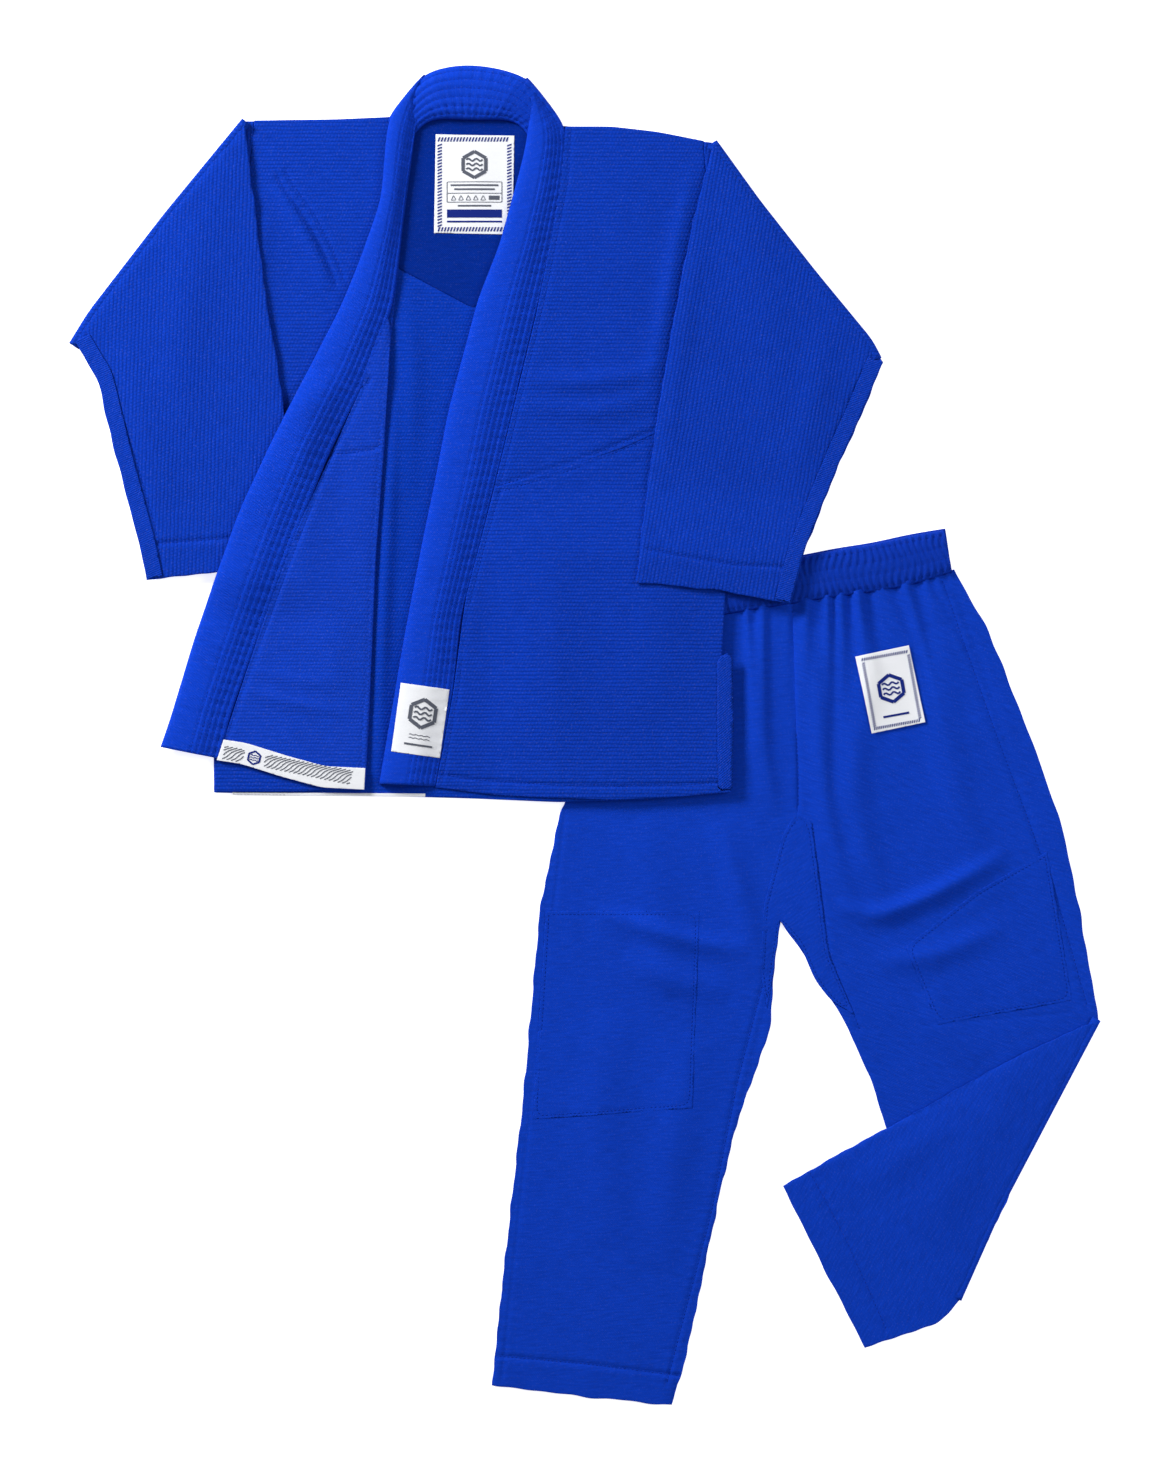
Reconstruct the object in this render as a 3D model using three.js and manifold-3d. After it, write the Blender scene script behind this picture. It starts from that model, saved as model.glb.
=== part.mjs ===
// A youth's grappling uniform laid out flat: a jacket with a wide lapel and a pair of elastic-waisted
// trousers. Millimetres, +Z up, +Y towards the collar. The jacket lies over the trousers' waist, its
// wearer's-right front turned back, both sleeves folded down and the right trouser leg folded up.
import * as THREE from "three";
import { mergeVertices } from "three/addons/utils/BufferGeometryUtils.js";
import Module from "manifold-3d";

const wasm = await Module();
wasm.setup();

// ---- Driving dimensions: overall sizes ----
const JACKET_LENGTH = 560; // shoulder line to hem
const SLEEVE_LENGTH = 375; // shoulder corner to cuff
const SLEEVE_FOLD = 233; // shoulder corner to underarm, along the fold
const CUFF_WIDTH = 130;
const LAPEL_WIDTH = 50;
const LEG_LENGTH = 663; // waist seam to hem, at the centre
const LEG_CUFF_WIDTH = 152;
const SHIN_LENGTH = 194; // middle of the fold to the folded hem
const WAISTBAND_HEIGHT = 33;

// ---- Driving dimensions: cloth and trim ----
const JACKET_CLOTH = 1.4;
const TROUSER_CLOTH = 0.9;
const TAPE = 0.3; // thickness of the hem and seam tapes
const PATCH = 0.5; // thickness of labels and reinforcement patches
const CLEAR = 0.3; // between pieces that touch
const LAPEL_THICKNESS = 6.4;
const LAPEL_CLOTH = 1.3;
const LAPEL_NECK_WIDTH = 30; // where the right lapel meets the collar
const LAPEL_ROLL_WIDTH = 20; // where the left lapel stands on its edge
const CORE_MARGIN = 5; // lapel edge to its core
const WAIST_RUN = 3; // one run of the waistband casing
const WAIST_CLOTH = 0.8;
const HEM_TAPE_HEIGHT = 18;
const CUFF_TAPE_HEIGHT = 13;
const UNDERARM_TAPE_WIDTH = 14;
const VENT_TAPE_WIDTH = 14;
const NECK_LABEL = { width: 66, height: 83 };
const LAPEL_PATCH = { width: 41, height: 58 };
const TROUSER_PATCH = { width: 46, height: 66 };

// ---- Places on the laid-out uniform ----
const HEM_Y = -48;
const SHOULDER_Y = HEM_Y + JACKET_LENGTH;
const WAIST_Y = 107;
const LEG_HEM_Y = WAIST_Y - LEG_LENGTH;
const RAMP = 55; // length over which the jacket climbs onto the trousers
const RISE_EDGE = { x: -25, y: 151 };
const SLEEVE_RAMP = 30; // length over which the turned front climbs onto the left sleeve

// ---- Layer heights ----
const JACKET_PITCH = JACKET_CLOTH + TAPE + 2 * CLEAR;
const TROUSER_PITCH = TROUSER_CLOTH + TAPE + 2 * CLEAR;
const WAISTBAND_TOP = 2 * WAIST_RUN + CLEAR;
const JACKET_RISE = WAISTBAND_TOP + CLEAR;
const LEG_TOP = TROUSER_PITCH + TROUSER_CLOTH;
const LEG_FOLD_BASE = LEG_TOP + CLEAR;
const SLEEVE_TOP = 3 * JACKET_PITCH + JACKET_CLOTH;
const SLEEVE_RISE = SLEEVE_TOP + TAPE + 2 * CLEAR - 2 * JACKET_PITCH;
const CUT_HEIGHT = 80; // tall enough to cut every layer

// ---- Finishes ----
const PEARL_WEAVE = new THREE.MeshStandardMaterial({ color: 0x1238b0, roughness: 0.9 });
const TWILL = new THREE.MeshStandardMaterial({ color: 0x1039ad, roughness: 0.85 });
const WHITE_TAPE = new THREE.MeshStandardMaterial({ color: 0xdde1e8, roughness: 0.8 });
const CORE_RUBBER = new THREE.MeshStandardMaterial({ color: 0xd8d4c8, roughness: 0.7 });
const ELASTIC = new THREE.MeshStandardMaterial({ color: 0xe6e6e2, roughness: 0.75 });

const uniform = new THREE.Group();

// ---- Plan geometry: points are [x, y] ----
const top = (x, dy) => [x, SHOULDER_Y + dy];
const hem = (x, dy) => [x, HEM_Y + dy];
const along = (p, degrees, distance) => [
  p[0] + distance * Math.cos(THREE.MathUtils.degToRad(degrees)),
  p[1] + distance * Math.sin(THREE.MathUtils.degToRad(degrees)),
];

// An edge from a to b that bows to its left by each of the given amounts, at equal steps.
function edge(a, b, bows = []) {
  const length = Math.hypot(b[0] - a[0], b[1] - a[1]);
  const u = [(b[0] - a[0]) / length, (b[1] - a[1]) / length];
  const inner = bows.map((bow, i) => {
    const s = (length * (i + 1)) / (bows.length + 1);
    return [a[0] + u[0] * s - u[1] * bow, a[1] + u[1] * s + u[0] * bow];
  });
  return [a, ...inner, b];
}

// Joins edges into one closed outline, counter-clockwise, without repeated points.
function outline(...edges) {
  const points = edges.flat();
  const kept = points.filter((p, i) => {
    const q = points[(i + points.length - 1) % points.length];
    return Math.hypot(p[0] - q[0], p[1] - q[1]) > 0.05;
  });
  const area = kept.reduce((sum, p, i) => {
    const q = kept[(i + 1) % kept.length];
    return sum + p[0] * q[1] - q[0] * p[1];
  }, 0);
  return area > 0 ? kept : kept.reverse();
}

// Moves every side of a counter-clockwise outline inwards by d, or outwards where d is negative.
function inset(points, d) {
  const n = points.length;
  const normal = (p, q) => {
    const length = Math.hypot(q[0] - p[0], q[1] - p[1]);
    return [-(q[1] - p[1]) / length, (q[0] - p[0]) / length];
  };
  return points.map((p, i) => {
    const a = normal(points[(i + n - 1) % n], p);
    const b = normal(p, points[(i + 1) % n]);
    const k = d / Math.max(1 + a[0] * b[0] + a[1] * b[1], 0.4);
    return [p[0] + (a[0] + b[0]) * k, p[1] + (a[1] + b[1]) * k];
  });
}

// The same curve moved sideways to its left, by widthAt(distance from its start).
function offsetCurve(curve, widthAt) {
  let travelled = 0;
  return curve.map((p, i) => {
    const before = curve[Math.max(i - 1, 0)];
    const after = curve[Math.min(i + 1, curve.length - 1)];
    travelled += Math.hypot(p[0] - before[0], p[1] - before[1]);
    const length = Math.hypot(after[0] - before[0], after[1] - before[1]);
    const w = widthAt(travelled);
    return [
      p[0] - ((after[1] - before[1]) / length) * w,
      p[1] + ((after[0] - before[0]) / length) * w,
    ];
  });
}

// The part of a downward curve that lies above the given height.
function above(curve, y) {
  const kept = [];
  for (let i = 0; i < curve.length; i++) {
    if (curve[i][1] >= y) {
      kept.push(curve[i]);
      continue;
    }
    const [p, q] = [curve[i - 1], curve[i]];
    const t = (p[1] - y) / (p[1] - q[1]);
    kept.push([p[0] + (q[0] - p[0]) * t, y]);
    break;
  }
  return kept;
}

// The part of a downward curve that lies below the given height.
function below(curve, y) {
  const last = above(curve, y);
  return [last[last.length - 1], ...curve.filter((p) => p[1] < y)];
}

// A rectangle of cloth, turned about its middle.
function rectangle(centre, size, degrees) {
  const corners = [[-1, -1], [1, -1], [1, 1], [-1, 1]];
  return corners.map(([i, j]) => {
    const p = along(centre, degrees, (i * size.width) / 2);
    return along(p, degrees + 90, (j * size.height) / 2);
  });
}

const reversed = (curve) => [...curve].reverse();
const smoothRamp = (from, to, start, end) => (s) =>
  from + (to - from) * THREE.MathUtils.clamp((s - start) / (end - start), 0, 1);

// ---- Solids ----
function solid(geometry) {
  geometry.deleteAttribute("normal");
  geometry.deleteAttribute("uv");
  const merged = mergeVertices(geometry, 1e-4);
  return new wasm.Manifold(
    new wasm.Mesh({
      numProp: 3,
      vertProperties: merged.attributes.position.array,
      triVerts: new Uint32Array(merged.index.array),
    }),
  );
}

function prism(points, low = -CUT_HEIGHT / 2, high = CUT_HEIGHT) {
  const shape = new THREE.Shape(points.map(([x, y]) => new THREE.Vector2(x, y)));
  const geometry = new THREE.ExtrudeGeometry(shape, { depth: high - low, bevelEnabled: false });
  return solid(geometry.translate(0, 0, low));
}

// A slab whose underside follows base(x, y), exact where base only bends on the given lines
// and on the diagonals of the cells between them.
function warpedSlab(points, base, thickness, lines) {
  const stations = (axis) => {
    const values = points.map((p) => p[axis]);
    const [low, high] = [Math.min(...values) - 1, Math.max(...values) + 1];
    const inside = lines[axis].filter((v) => v > low + 0.5 && v < high - 0.5);
    return [low, ...inside.sort((a, b) => a - b), high];
  };
  const [xs, ys] = [stations(0), stations(1)];
  const vertices = [];
  const triangles = [];
  const place = (x, y) => {
    const z = base(x, y);
    vertices.push(x, y, z, x, y, z + thickness);
  };
  xs.forEach((x) => ys.forEach((y) => place(x, y)));
  const corner = (i, j) => 2 * (i * ys.length + j);
  const wall = (a, b) => triangles.push(a, b, b + 1, a, b + 1, a + 1);
  for (let i = 0; i + 1 < xs.length; i++) {
    for (let j = 0; j + 1 < ys.length; j++) {
      const middle = vertices.length / 3;
      place((xs[i] + xs[i + 1]) / 2, (ys[j] + ys[j + 1]) / 2);
      const ring = [corner(i, j), corner(i + 1, j), corner(i + 1, j + 1), corner(i, j + 1)];
      ring.forEach((a, k) => {
        const b = ring[(k + 1) % 4];
        triangles.push(a + 1, b + 1, middle + 1, b, a, middle);
      });
    }
    wall(corner(i, 0), corner(i + 1, 0));
    wall(corner(i + 1, ys.length - 1), corner(i, ys.length - 1));
  }
  for (let j = 0; j + 1 < ys.length; j++) {
    wall(corner(0, j + 1), corner(0, j));
    wall(corner(xs.length - 1, j), corner(xs.length - 1, j + 1));
  }
  return new wasm.Manifold(
    new wasm.Mesh({
      numProp: 3,
      vertProperties: new Float32Array(vertices),
      triVerts: new Uint32Array(triangles),
    }),
  );
}

// How far the jacket climbs where it lies over the trousers.
function jacketRise(x, y) {
  const inX = THREE.MathUtils.clamp((x - RISE_EDGE.x) / RAMP + 1, 0, 1);
  const inY = THREE.MathUtils.clamp((RISE_EDGE.y - y) / RAMP + 1, 0, 1);
  return JACKET_RISE * Math.min(inX, inY);
}
const JACKET_LINES = [
  [RISE_EDGE.x - RAMP, RISE_EDGE.x],
  [RISE_EDGE.y, RISE_EDGE.y + RAMP],
];

// A jacket layer: an outline whose underside is the given height above the back's underside.
function jacketLayer(points, height, thickness = JACKET_CLOTH) {
  const base = (x, y) => height + jacketRise(x, y);
  return warpedSlab(points, base, thickness, JACKET_LINES).intersect(prism(points));
}

function add(name, material, body) {
  const made = body.getMesh();
  const geometry = new THREE.BufferGeometry();
  geometry.setAttribute("position", new THREE.BufferAttribute(new Float32Array(made.vertProperties), 3));
  geometry.setIndex(new THREE.BufferAttribute(new Uint32Array(made.triVerts), 1));
  geometry.computeVertexNormals();
  const mesh = new THREE.Mesh(geometry, material);
  mesh.name = name;
  uniform.add(mesh);
}

// ---- Jacket outline curves, each running down from the shoulder to the hem ----
const NECK_LEFT = top(-162, 7);
const NECK_RIGHT = top(-16, -2);
const FOLD_TOP = top(-141, 7);
const NECK_RIGHT_INNER = top(-46, 1);
const SHOULDER_LEFT = top(-286, 3);
const SHOULDER_RIGHT = top(108, -15);
const ARMHOLE_LEFT = top(-277, 3);
const ARMHOLE_RIGHT = top(99, -14);
const ARMPIT_LEFT = top(-313, -298);
const ARMPIT_RIGHT = top(124, -298);

const lapelOuterRight = edge(NECK_RIGHT, hem(-125, 4), [6, 6, 2.5, -1, -6, -1]);
const lapelOuterLeft = edge(NECK_LEFT, hem(-357, 38), [17, 16, 9, 1, -4.5, -4.5, -2.5]);
const foldLeft = edge(FOLD_TOP, hem(-185, 2), [-5, -7.5, -6.5, -6, -2.5]);
const widthRight = smoothRamp(LAPEL_NECK_WIDTH, LAPEL_WIDTH, 0, 180);
const widthLeft = smoothRamp(LAPEL_ROLL_WIDTH, LAPEL_WIDTH, 80, 230);
const lapelInnerRight = offsetCurve(lapelOuterRight, (s) => -widthRight(s));
const lapelInnerLeft = offsetCurve(lapelOuterLeft, widthLeft);
const sideRight = edge(ARMPIT_RIGHT, hem(122, 0), [-3, -6.5, -9, -4.5]);
const sideLeft = edge(ARMPIT_LEFT, hem(-311, 0), [3, 6.5, 5, 0]);
const hemRight = edge(hem(-125, 4), hem(122, 0), [-5.5, -7, -8, -5]);
const hemLeft = edge(hem(-311, 0), hem(-185, 2), [-1]);
const shoulderSeamRight = edge(NECK_RIGHT, ARMHOLE_RIGHT, [4, 3.5]);
const shoulderSeamLeft = edge(FOLD_TOP, ARMHOLE_LEFT, [1]);

const VENT_TOP = SHOULDER_Y - 443;
const TURN_SPLIT_LEFT = SHOULDER_Y - 201; // the left front turns back below this height
const TURN_SPLIT_RIGHT = SHOULDER_Y - 113; // the right front turns back below this height
const TURN_LINE_RIGHT = [top(-11, -54), hem(23, -7)]; // the line that the right front turns on

// ---- Regions that share the cuts between pieces ----
const frontRight = outline(
  lapelOuterRight, hemRight, reversed(sideRight), [ARMHOLE_RIGHT], reversed(shoulderSeamRight));
const frontLeft = outline(
  shoulderSeamLeft, sideLeft, hemLeft, reversed(foldLeft));
const turnedHem = edge(hem(-357, 38), hem(-185, 2), [-2, 0, -3.5, -5.5]);
const turnedLeft = outline(lapelOuterLeft, turnedHem, reversed(foldLeft));
const lapelBandRight = outline(lapelOuterRight, reversed(lapelInnerRight));
const lapelBandLeft = outline(
  lapelOuterLeft, [hem(-366, 8), hem(-312, -5)], reversed(lapelInnerLeft));
const backOutline = outline(
  shoulderSeamLeft, sideLeft, edge(hem(-311, 0), hem(122, 0), [-2, -3, -5, -8, -6]),
  reversed(sideRight), [ARMHOLE_RIGHT], reversed(shoulderSeamRight),
  edge(NECK_RIGHT_INNER, FOLD_TOP, [2]));

const FAR = 2000; // beyond the uniform, for the open side of a cutting region
const chevron = [
  [-FAR, SHOULDER_Y + 150], top(-290, -48), top(-94, -153), top(100, -49), [FAR, SHOULDER_Y + 150]];
const chestSeam = [
  [-FAR, SHOULDER_Y - 10], top(-290, -16), top(-255, -50), top(-229, -89), top(-208, -134),
  top(-150, -250), top(-100, -250), [-100, SHOULDER_Y + 150], [-FAR, SHOULDER_Y + 150]];
const skirtSeamRight = [
  [-FAR, SHOULDER_Y - 500], top(-76, -305), top(-23, -290), top(30, -272), top(124, -231),
  [FAR, SHOULDER_Y + 30], [FAR, -FAR], [-FAR, -FAR]];
const skirtSeamLeft = [
  [-FAR, SHOULDER_Y - 150], top(-330, -227), top(-215, -278), top(-169, -272),
  [FAR, SHOULDER_Y - 150], [FAR, -FAR], [-FAR, -FAR]];
const rightTurnZone = outline([
  [-FAR, TURN_SPLIT_RIGHT], [TURN_LINE_RIGHT[0][0], TURN_SPLIT_RIGHT],
  TURN_LINE_RIGHT[1], [TURN_LINE_RIGHT[1][0], -FAR], [-FAR, -FAR]]);
const belowLeftSplit = outline([
  [-FAR, TURN_SPLIT_LEFT], [FAR, TURN_SPLIT_LEFT], [FAR, -FAR], [-FAR, -FAR]]);

// Cuts a body along a region's edge and keeps what lies inside it, or outside it.
const inside = (body, region) => body.intersect(prism(inset(outline(region), CLEAR / 2)));
const outside = (body, region) => body.subtract(prism(inset(outline(region), -CLEAR / 2)));

// ---- Back ----
function buildBack() {
  const back = jacketLayer(backOutline, 0);
  add("back_panel", PEARL_WEAVE, outside(back, [...chevron, [FAR, FAR], [-FAR, FAR]]));
  add("back_yoke", PEARL_WEAVE, inside(back, [...chevron, [FAR, FAR], [-FAR, FAR]]));
  const tapeOutline = inset(
    outline(edge(hem(-300, 1), hem(-128, -2), [-1]), [hem(-128, HEM_TAPE_HEIGHT), hem(-300, HEM_TAPE_HEIGHT)]),
    0.5);
  add("back_hem_tape", WHITE_TAPE, jacketLayer(tapeOutline, JACKET_CLOTH + CLEAR, TAPE));
  const label = rectangle(top(-93, -50), NECK_LABEL, -1);
  add("neck_label", WHITE_TAPE, jacketLayer(label, JACKET_CLOTH + CLEAR, TAPE));
}

// ---- Lapel and collar: a folded cover round a flat core ----
function lapelBody(region, base, lines) {
  const slab = (points, lift, thickness) =>
    warpedSlab(points, (x, y) => base(x, y) + lift, thickness, lines).intersect(prism(points));
  const cover = slab(region, 0, LAPEL_THICKNESS);
  const coreRegion = inset(region, CORE_MARGIN);
  const coreThickness = LAPEL_THICKNESS - 2 * LAPEL_CLOTH - 2 * CLEAR;
  return {
    cover,
    cavity: slab(inset(coreRegion, -CLEAR), LAPEL_CLOTH, coreThickness + 2 * CLEAR),
    core: slab(coreRegion, LAPEL_CLOTH + CLEAR, coreThickness),
  };
}

const collarLines = [[-140, -60], []];
const collarBase = (x) => JACKET_PITCH * (1 + THREE.MathUtils.clamp((-60 - x) / 80, 0, 1));

function collarOutline(drop) {
  const [yLeft, yRight] = [TURN_SPLIT_LEFT - drop, TURN_SPLIT_RIGHT - drop];
  return outline(
    reversed(above(lapelOuterLeft, yLeft)),
    edge(NECK_LEFT, NECK_RIGHT, [26, 40, 45, 45.5, 44, 39, 22]),
    above(lapelOuterRight, yRight),
    reversed(above(lapelInnerRight, yRight)),
    edge(NECK_RIGHT_INNER, FOLD_TOP, [2]),
    above(foldLeft, yLeft));
}

function buildCollar() {
  const long = lapelBody(inset(collarOutline(12), CLEAR / 2), collarBase, collarLines);
  const ends = (drop) => outline([
    [-FAR, TURN_SPLIT_LEFT + drop], [-120, TURN_SPLIT_LEFT + drop], [-120, TURN_SPLIT_RIGHT + drop],
    [FAR, TURN_SPLIT_RIGHT + drop], [FAR, FAR], [-FAR, FAR]]);
  const trimmed = prism(inset(ends(0), CLEAR / 2));
  add("collar_cover", PEARL_WEAVE, long.cover.intersect(trimmed).subtract(long.cavity));
  add("collar_core", CORE_RUBBER, long.core.intersect(prism(ends(2))));
}

// ---- Wearer's-right front, turned back so that its inside faces up ----
const CUFF_CORNER_LEFT = along(SHOULDER_LEFT, -82.6, SLEEVE_LENGTH);
const SLEEVE_BUMP = {
  right: CUFF_CORNER_LEFT[0] + 3,
  low: CUFF_CORNER_LEFT[1] - 13,
  high: SHOULDER_Y - 238,
};
function turnedRise(x, y) {
  const inX = (SLEEVE_BUMP.right - x) / SLEEVE_RAMP + 1;
  const fromLow = (y - SLEEVE_BUMP.low) / SLEEVE_RAMP + 1;
  const fromHigh = (SLEEVE_BUMP.high - y) / SLEEVE_RAMP + 1;
  return SLEEVE_RISE * THREE.MathUtils.clamp(Math.min(inX, fromLow, fromHigh), 0, 1);
}
const TURNED_LINES = [
  [SLEEVE_BUMP.right, SLEEVE_BUMP.right + SLEEVE_RAMP],
  [SLEEVE_BUMP.low - SLEEVE_RAMP, SLEEVE_BUMP.low, SLEEVE_BUMP.high, SLEEVE_BUMP.high + SLEEVE_RAMP],
];
const TURNED_BASE = 2 * JACKET_PITCH;

function turnedLayer(points, height, thickness) {
  const base = (x, y) => height + turnedRise(x, y);
  return warpedSlab(points, base, thickness, TURNED_LINES).intersect(prism(points));
}

function buildTurnedFront() {
  const belowSplit = (body) => body.intersect(prism(inset(belowLeftSplit, CLEAR / 2)));
  const panel = outside(belowSplit(turnedLayer(turnedLeft, TURNED_BASE, JACKET_CLOTH)), lapelBandLeft);
  add("left_front_turned", PEARL_WEAVE, outside(panel, skirtSeamLeft));
  add("left_skirt_turned", PEARL_WEAVE, inside(panel, skirtSeamLeft));

  const base = (x, y) => TURNED_BASE + turnedRise(x, y);
  const lapel = lapelBody(lapelBandLeft, base, TURNED_LINES);
  const shape = prism(inset(turnedLeft, CLEAR / 2));
  const hollow = lapel.cavity.intersect(prism(inset(turnedLeft, CORE_MARGIN - CLEAR)));
  add("left_lapel_cover", PEARL_WEAVE, belowSplit(lapel.cover.intersect(shape)).subtract(hollow));
  const short = [[-FAR, -FAR], [FAR, -FAR], [FAR, TURN_SPLIT_LEFT - 2], [-FAR, TURN_SPLIT_LEFT - 2]];
  add("left_lapel_core", CORE_RUBBER,
    lapel.core.intersect(prism(inset(turnedLeft, CORE_MARGIN))).intersect(prism(short)));

  const tapeTop = offsetCurve(turnedHem, () => HEM_TAPE_HEIGHT);
  const tapeRegion = inset(outline(turnedHem, reversed(tapeTop)), 0.6);
  const tape = turnedLayer(tapeRegion, TURNED_BASE + JACKET_CLOTH + CLEAR, TAPE);
  add("left_hem_tape", WHITE_TAPE, outside(tape.intersect(shape), lapelBandLeft));
}

// ---- Wearer's-right front, the layer below, from the side seam to the fold ----
function buildLeftFront() {
  const front = jacketLayer(inset(frontLeft, CLEAR / 2), JACKET_PITCH);
  add("left_shoulder", PEARL_WEAVE, inside(front, chestSeam));
  const lower = outside(front, chestSeam);
  add("left_front", PEARL_WEAVE, outside(lower, skirtSeamLeft));
  add("left_skirt", PEARL_WEAVE, inside(lower, skirtSeamLeft));
}

// ---- Wearer's-left front: a fixed side, and the part that turns with its lapel ----
function buildRightFront() {
  const front = jacketLayer(inset(frontRight, CLEAR / 2), JACKET_PITCH);
  const upper = outside(front, skirtSeamRight);
  const skirt = inside(front, skirtSeamRight);
  add("right_front_side", PEARL_WEAVE, outside(upper, rightTurnZone));
  add("right_front_flap", PEARL_WEAVE, inside(upper, rightTurnZone));
  add("right_skirt_side", PEARL_WEAVE, outside(skirt, rightTurnZone));
  add("right_skirt_flap", PEARL_WEAVE, inside(skirt, rightTurnZone));

  const base = (x, y) => JACKET_PITCH + jacketRise(x, y);
  const lapel = lapelBody(inset(lapelBandRight, CLEAR / 2), base, JACKET_LINES);
  add("right_lapel_cover", PEARL_WEAVE, inside(lapel.cover, rightTurnZone).subtract(lapel.cavity));
  const short = [[-FAR, -FAR], [FAR, -FAR], [FAR, TURN_SPLIT_RIGHT - 2], [-FAR, TURN_SPLIT_RIGHT - 2]];
  add("right_lapel_core", CORE_RUBBER, lapel.core.intersect(prism(short)));

  const patch = rectangle(hem(-138, 60), LAPEL_PATCH, -8);
  add("lapel_patch", WHITE_TAPE, jacketLayer(patch, JACKET_PITCH + LAPEL_THICKNESS + CLEAR, PATCH));

  const tapeTop = offsetCurve(hemRight, () => HEM_TAPE_HEIGHT);
  const tape = jacketLayer(inset(outline(hemRight, reversed(tapeTop)), 0.6), JACKET_CLOTH + CLEAR, TAPE);
  add("right_hem_tape", WHITE_TAPE, inside(tape, rightTurnZone));

  const ventEdge = below(sideRight, VENT_TOP);
  const ventRegion = outline(ventEdge, reversed(ventEdge.map(([x, y]) => [x - VENT_TAPE_WIDTH, y])));
  const ventHeight = JACKET_PITCH + JACKET_CLOTH + CLEAR;
  add("right_vent_tape", WHITE_TAPE, jacketLayer(inset(ventRegion, 0.5), ventHeight, TAPE));
}

// ---- Sleeves: a root joined to the body, and the sleeve folded down over it ----
const SLEEVES = {
  left: {
    corner: SHOULDER_LEFT, armhole: ARMHOLE_LEFT, armpit: ARMPIT_LEFT,
    hang: -82.6, fold: -127.3, cuff: -174.2, outward: -1,
    innerBows: [-0.5, -1, 2, 1.5], outerBows: [9, 7, 5, 4, 3], foldBows: [-2.5, -3], cuffBows: [0.7],
    rootBows: [-8],
  },
  right: {
    corner: SHOULDER_RIGHT, armhole: ARMHOLE_RIGHT, armpit: ARMPIT_RIGHT,
    hang: -100, fold: -52.6, cuff: -7.9, outward: 1,
    innerBows: [-5.5, -7, -6.5, -4], outerBows: [-1, -3.5, -4.5, -5], foldBows: [-1.5, -1, 1], cuffBows: [-3],
    rootBows: [8],
  },
};

function buildSleeve(side) {
  const s = SLEEVES[side];
  const tip = along(s.corner, s.fold, SLEEVE_FOLD);
  const innerCuff = along(s.corner, s.hang, SLEEVE_LENGTH);
  const outerCuff = along(innerCuff, s.cuff, CUFF_WIDTH);
  const foldEdge = edge(s.corner, tip, s.foldBows);
  const outerEdge = edge(tip, outerCuff, s.outerBows);
  const folded = inset(outline(
    foldEdge, outerEdge, edge(outerCuff, innerCuff, s.cuffBows),
    reversed(edge(s.corner, innerCuff, s.innerBows))), CLEAR / 2);
  const root = inset(outline(
    foldEdge, edge(tip, s.armpit, s.rootBows), [s.armhole]), CLEAR / 2);

  add(`${side}_sleeve_root_back`, PEARL_WEAVE, jacketLayer(root, 0));
  add(`${side}_sleeve_root_front`, PEARL_WEAVE, jacketLayer(root, JACKET_PITCH));
  add(`${side}_sleeve_under`, PEARL_WEAVE, jacketLayer(folded, 2 * JACKET_PITCH));
  add(`${side}_sleeve_upper`, PEARL_WEAVE, jacketLayer(folded, 3 * JACKET_PITCH));

  const strip = (curve, width, height) => {
    const other = offsetCurve(curve, () => width);
    return jacketLayer(inset(outline(curve, reversed(other)), 0.6), height, TAPE)
      .intersect(prism(inset(folded, 0.5)));
  };
  add(`${side}_underarm_tape`, PEARL_WEAVE,
    strip(outerEdge, -s.outward * UNDERARM_TAPE_WIDTH, SLEEVE_TOP + CLEAR));
  const cuffEdge = edge(innerCuff, outerCuff, s.cuffBows.map((b) => -b));
  add(`${side}_cuff_tape`, WHITE_TAPE,
    strip(cuffEdge, s.outward * CUFF_TAPE_HEIGHT, 2 * JACKET_PITCH + JACKET_CLOTH + CLEAR));
}

// ---- Trousers ----
const CENTRE_TOP = [174, WAIST_Y];
const CROTCH = [179, WAIST_Y - 169];
const LEGS_PART = [164, WAIST_Y - 262];
const WAIST_LEFT = [42, WAIST_Y - 19];
const WAIST_RIGHT = [310, WAIST_Y + 32];
const FOLD_OUTER = [431, LEG_HEM_Y + 317];
const FOLD_INNER = [314, LEG_HEM_Y + 81];
const SHIN_DIRECTION = -152.6; // which way the folded leg points, degrees
const centreSeam = [CENTRE_TOP, [177, WAIST_Y - 90], CROTCH, LEGS_PART];
const waistSeam = edge(WAIST_LEFT, WAIST_RIGHT, [0, 0, -3]);

function trouserLayer(points, height, thickness = TROUSER_CLOTH) {
  return prism(points, height, height + thickness);
}

function legOutlines() {
  const leftCuffOuter = [-78, LEG_HEM_Y + 10];
  const leftCuffInner = along(leftCuffOuter, -6.4, LEG_CUFF_WIDTH);
  const splitAt = waistSeam.findIndex((p) => p[0] > CENTRE_TOP[0]);
  const left = outline(
    reversed([...waistSeam.slice(0, splitAt), CENTRE_TOP]),
    edge(WAIST_LEFT, leftCuffOuter, [-16, -33, -35, -27, -19, -13, -7]),
    edge(leftCuffOuter, leftCuffInner, [-1]),
    edge(leftCuffInner, LEGS_PART, [-2.5, -2, -1, -0.5, -1, -5.5, -12, -4.5]),
    reversed(centreSeam));
  const right = outline(
    centreSeam,
    edge(LEGS_PART, FOLD_INNER, [7.5, 12.5, 12.5, 5, 2, 1]),
    edge(FOLD_INNER, FOLD_OUTER, [3]),
    reversed(edge(WAIST_RIGHT, FOLD_OUTER, [11, 15.5, 18.5, 20.5, 15.5, 8])),
    reversed([CENTRE_TOP, ...waistSeam.slice(splitAt)]));
  return { left, right, leftCuffOuter, leftCuffInner };
}

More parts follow.
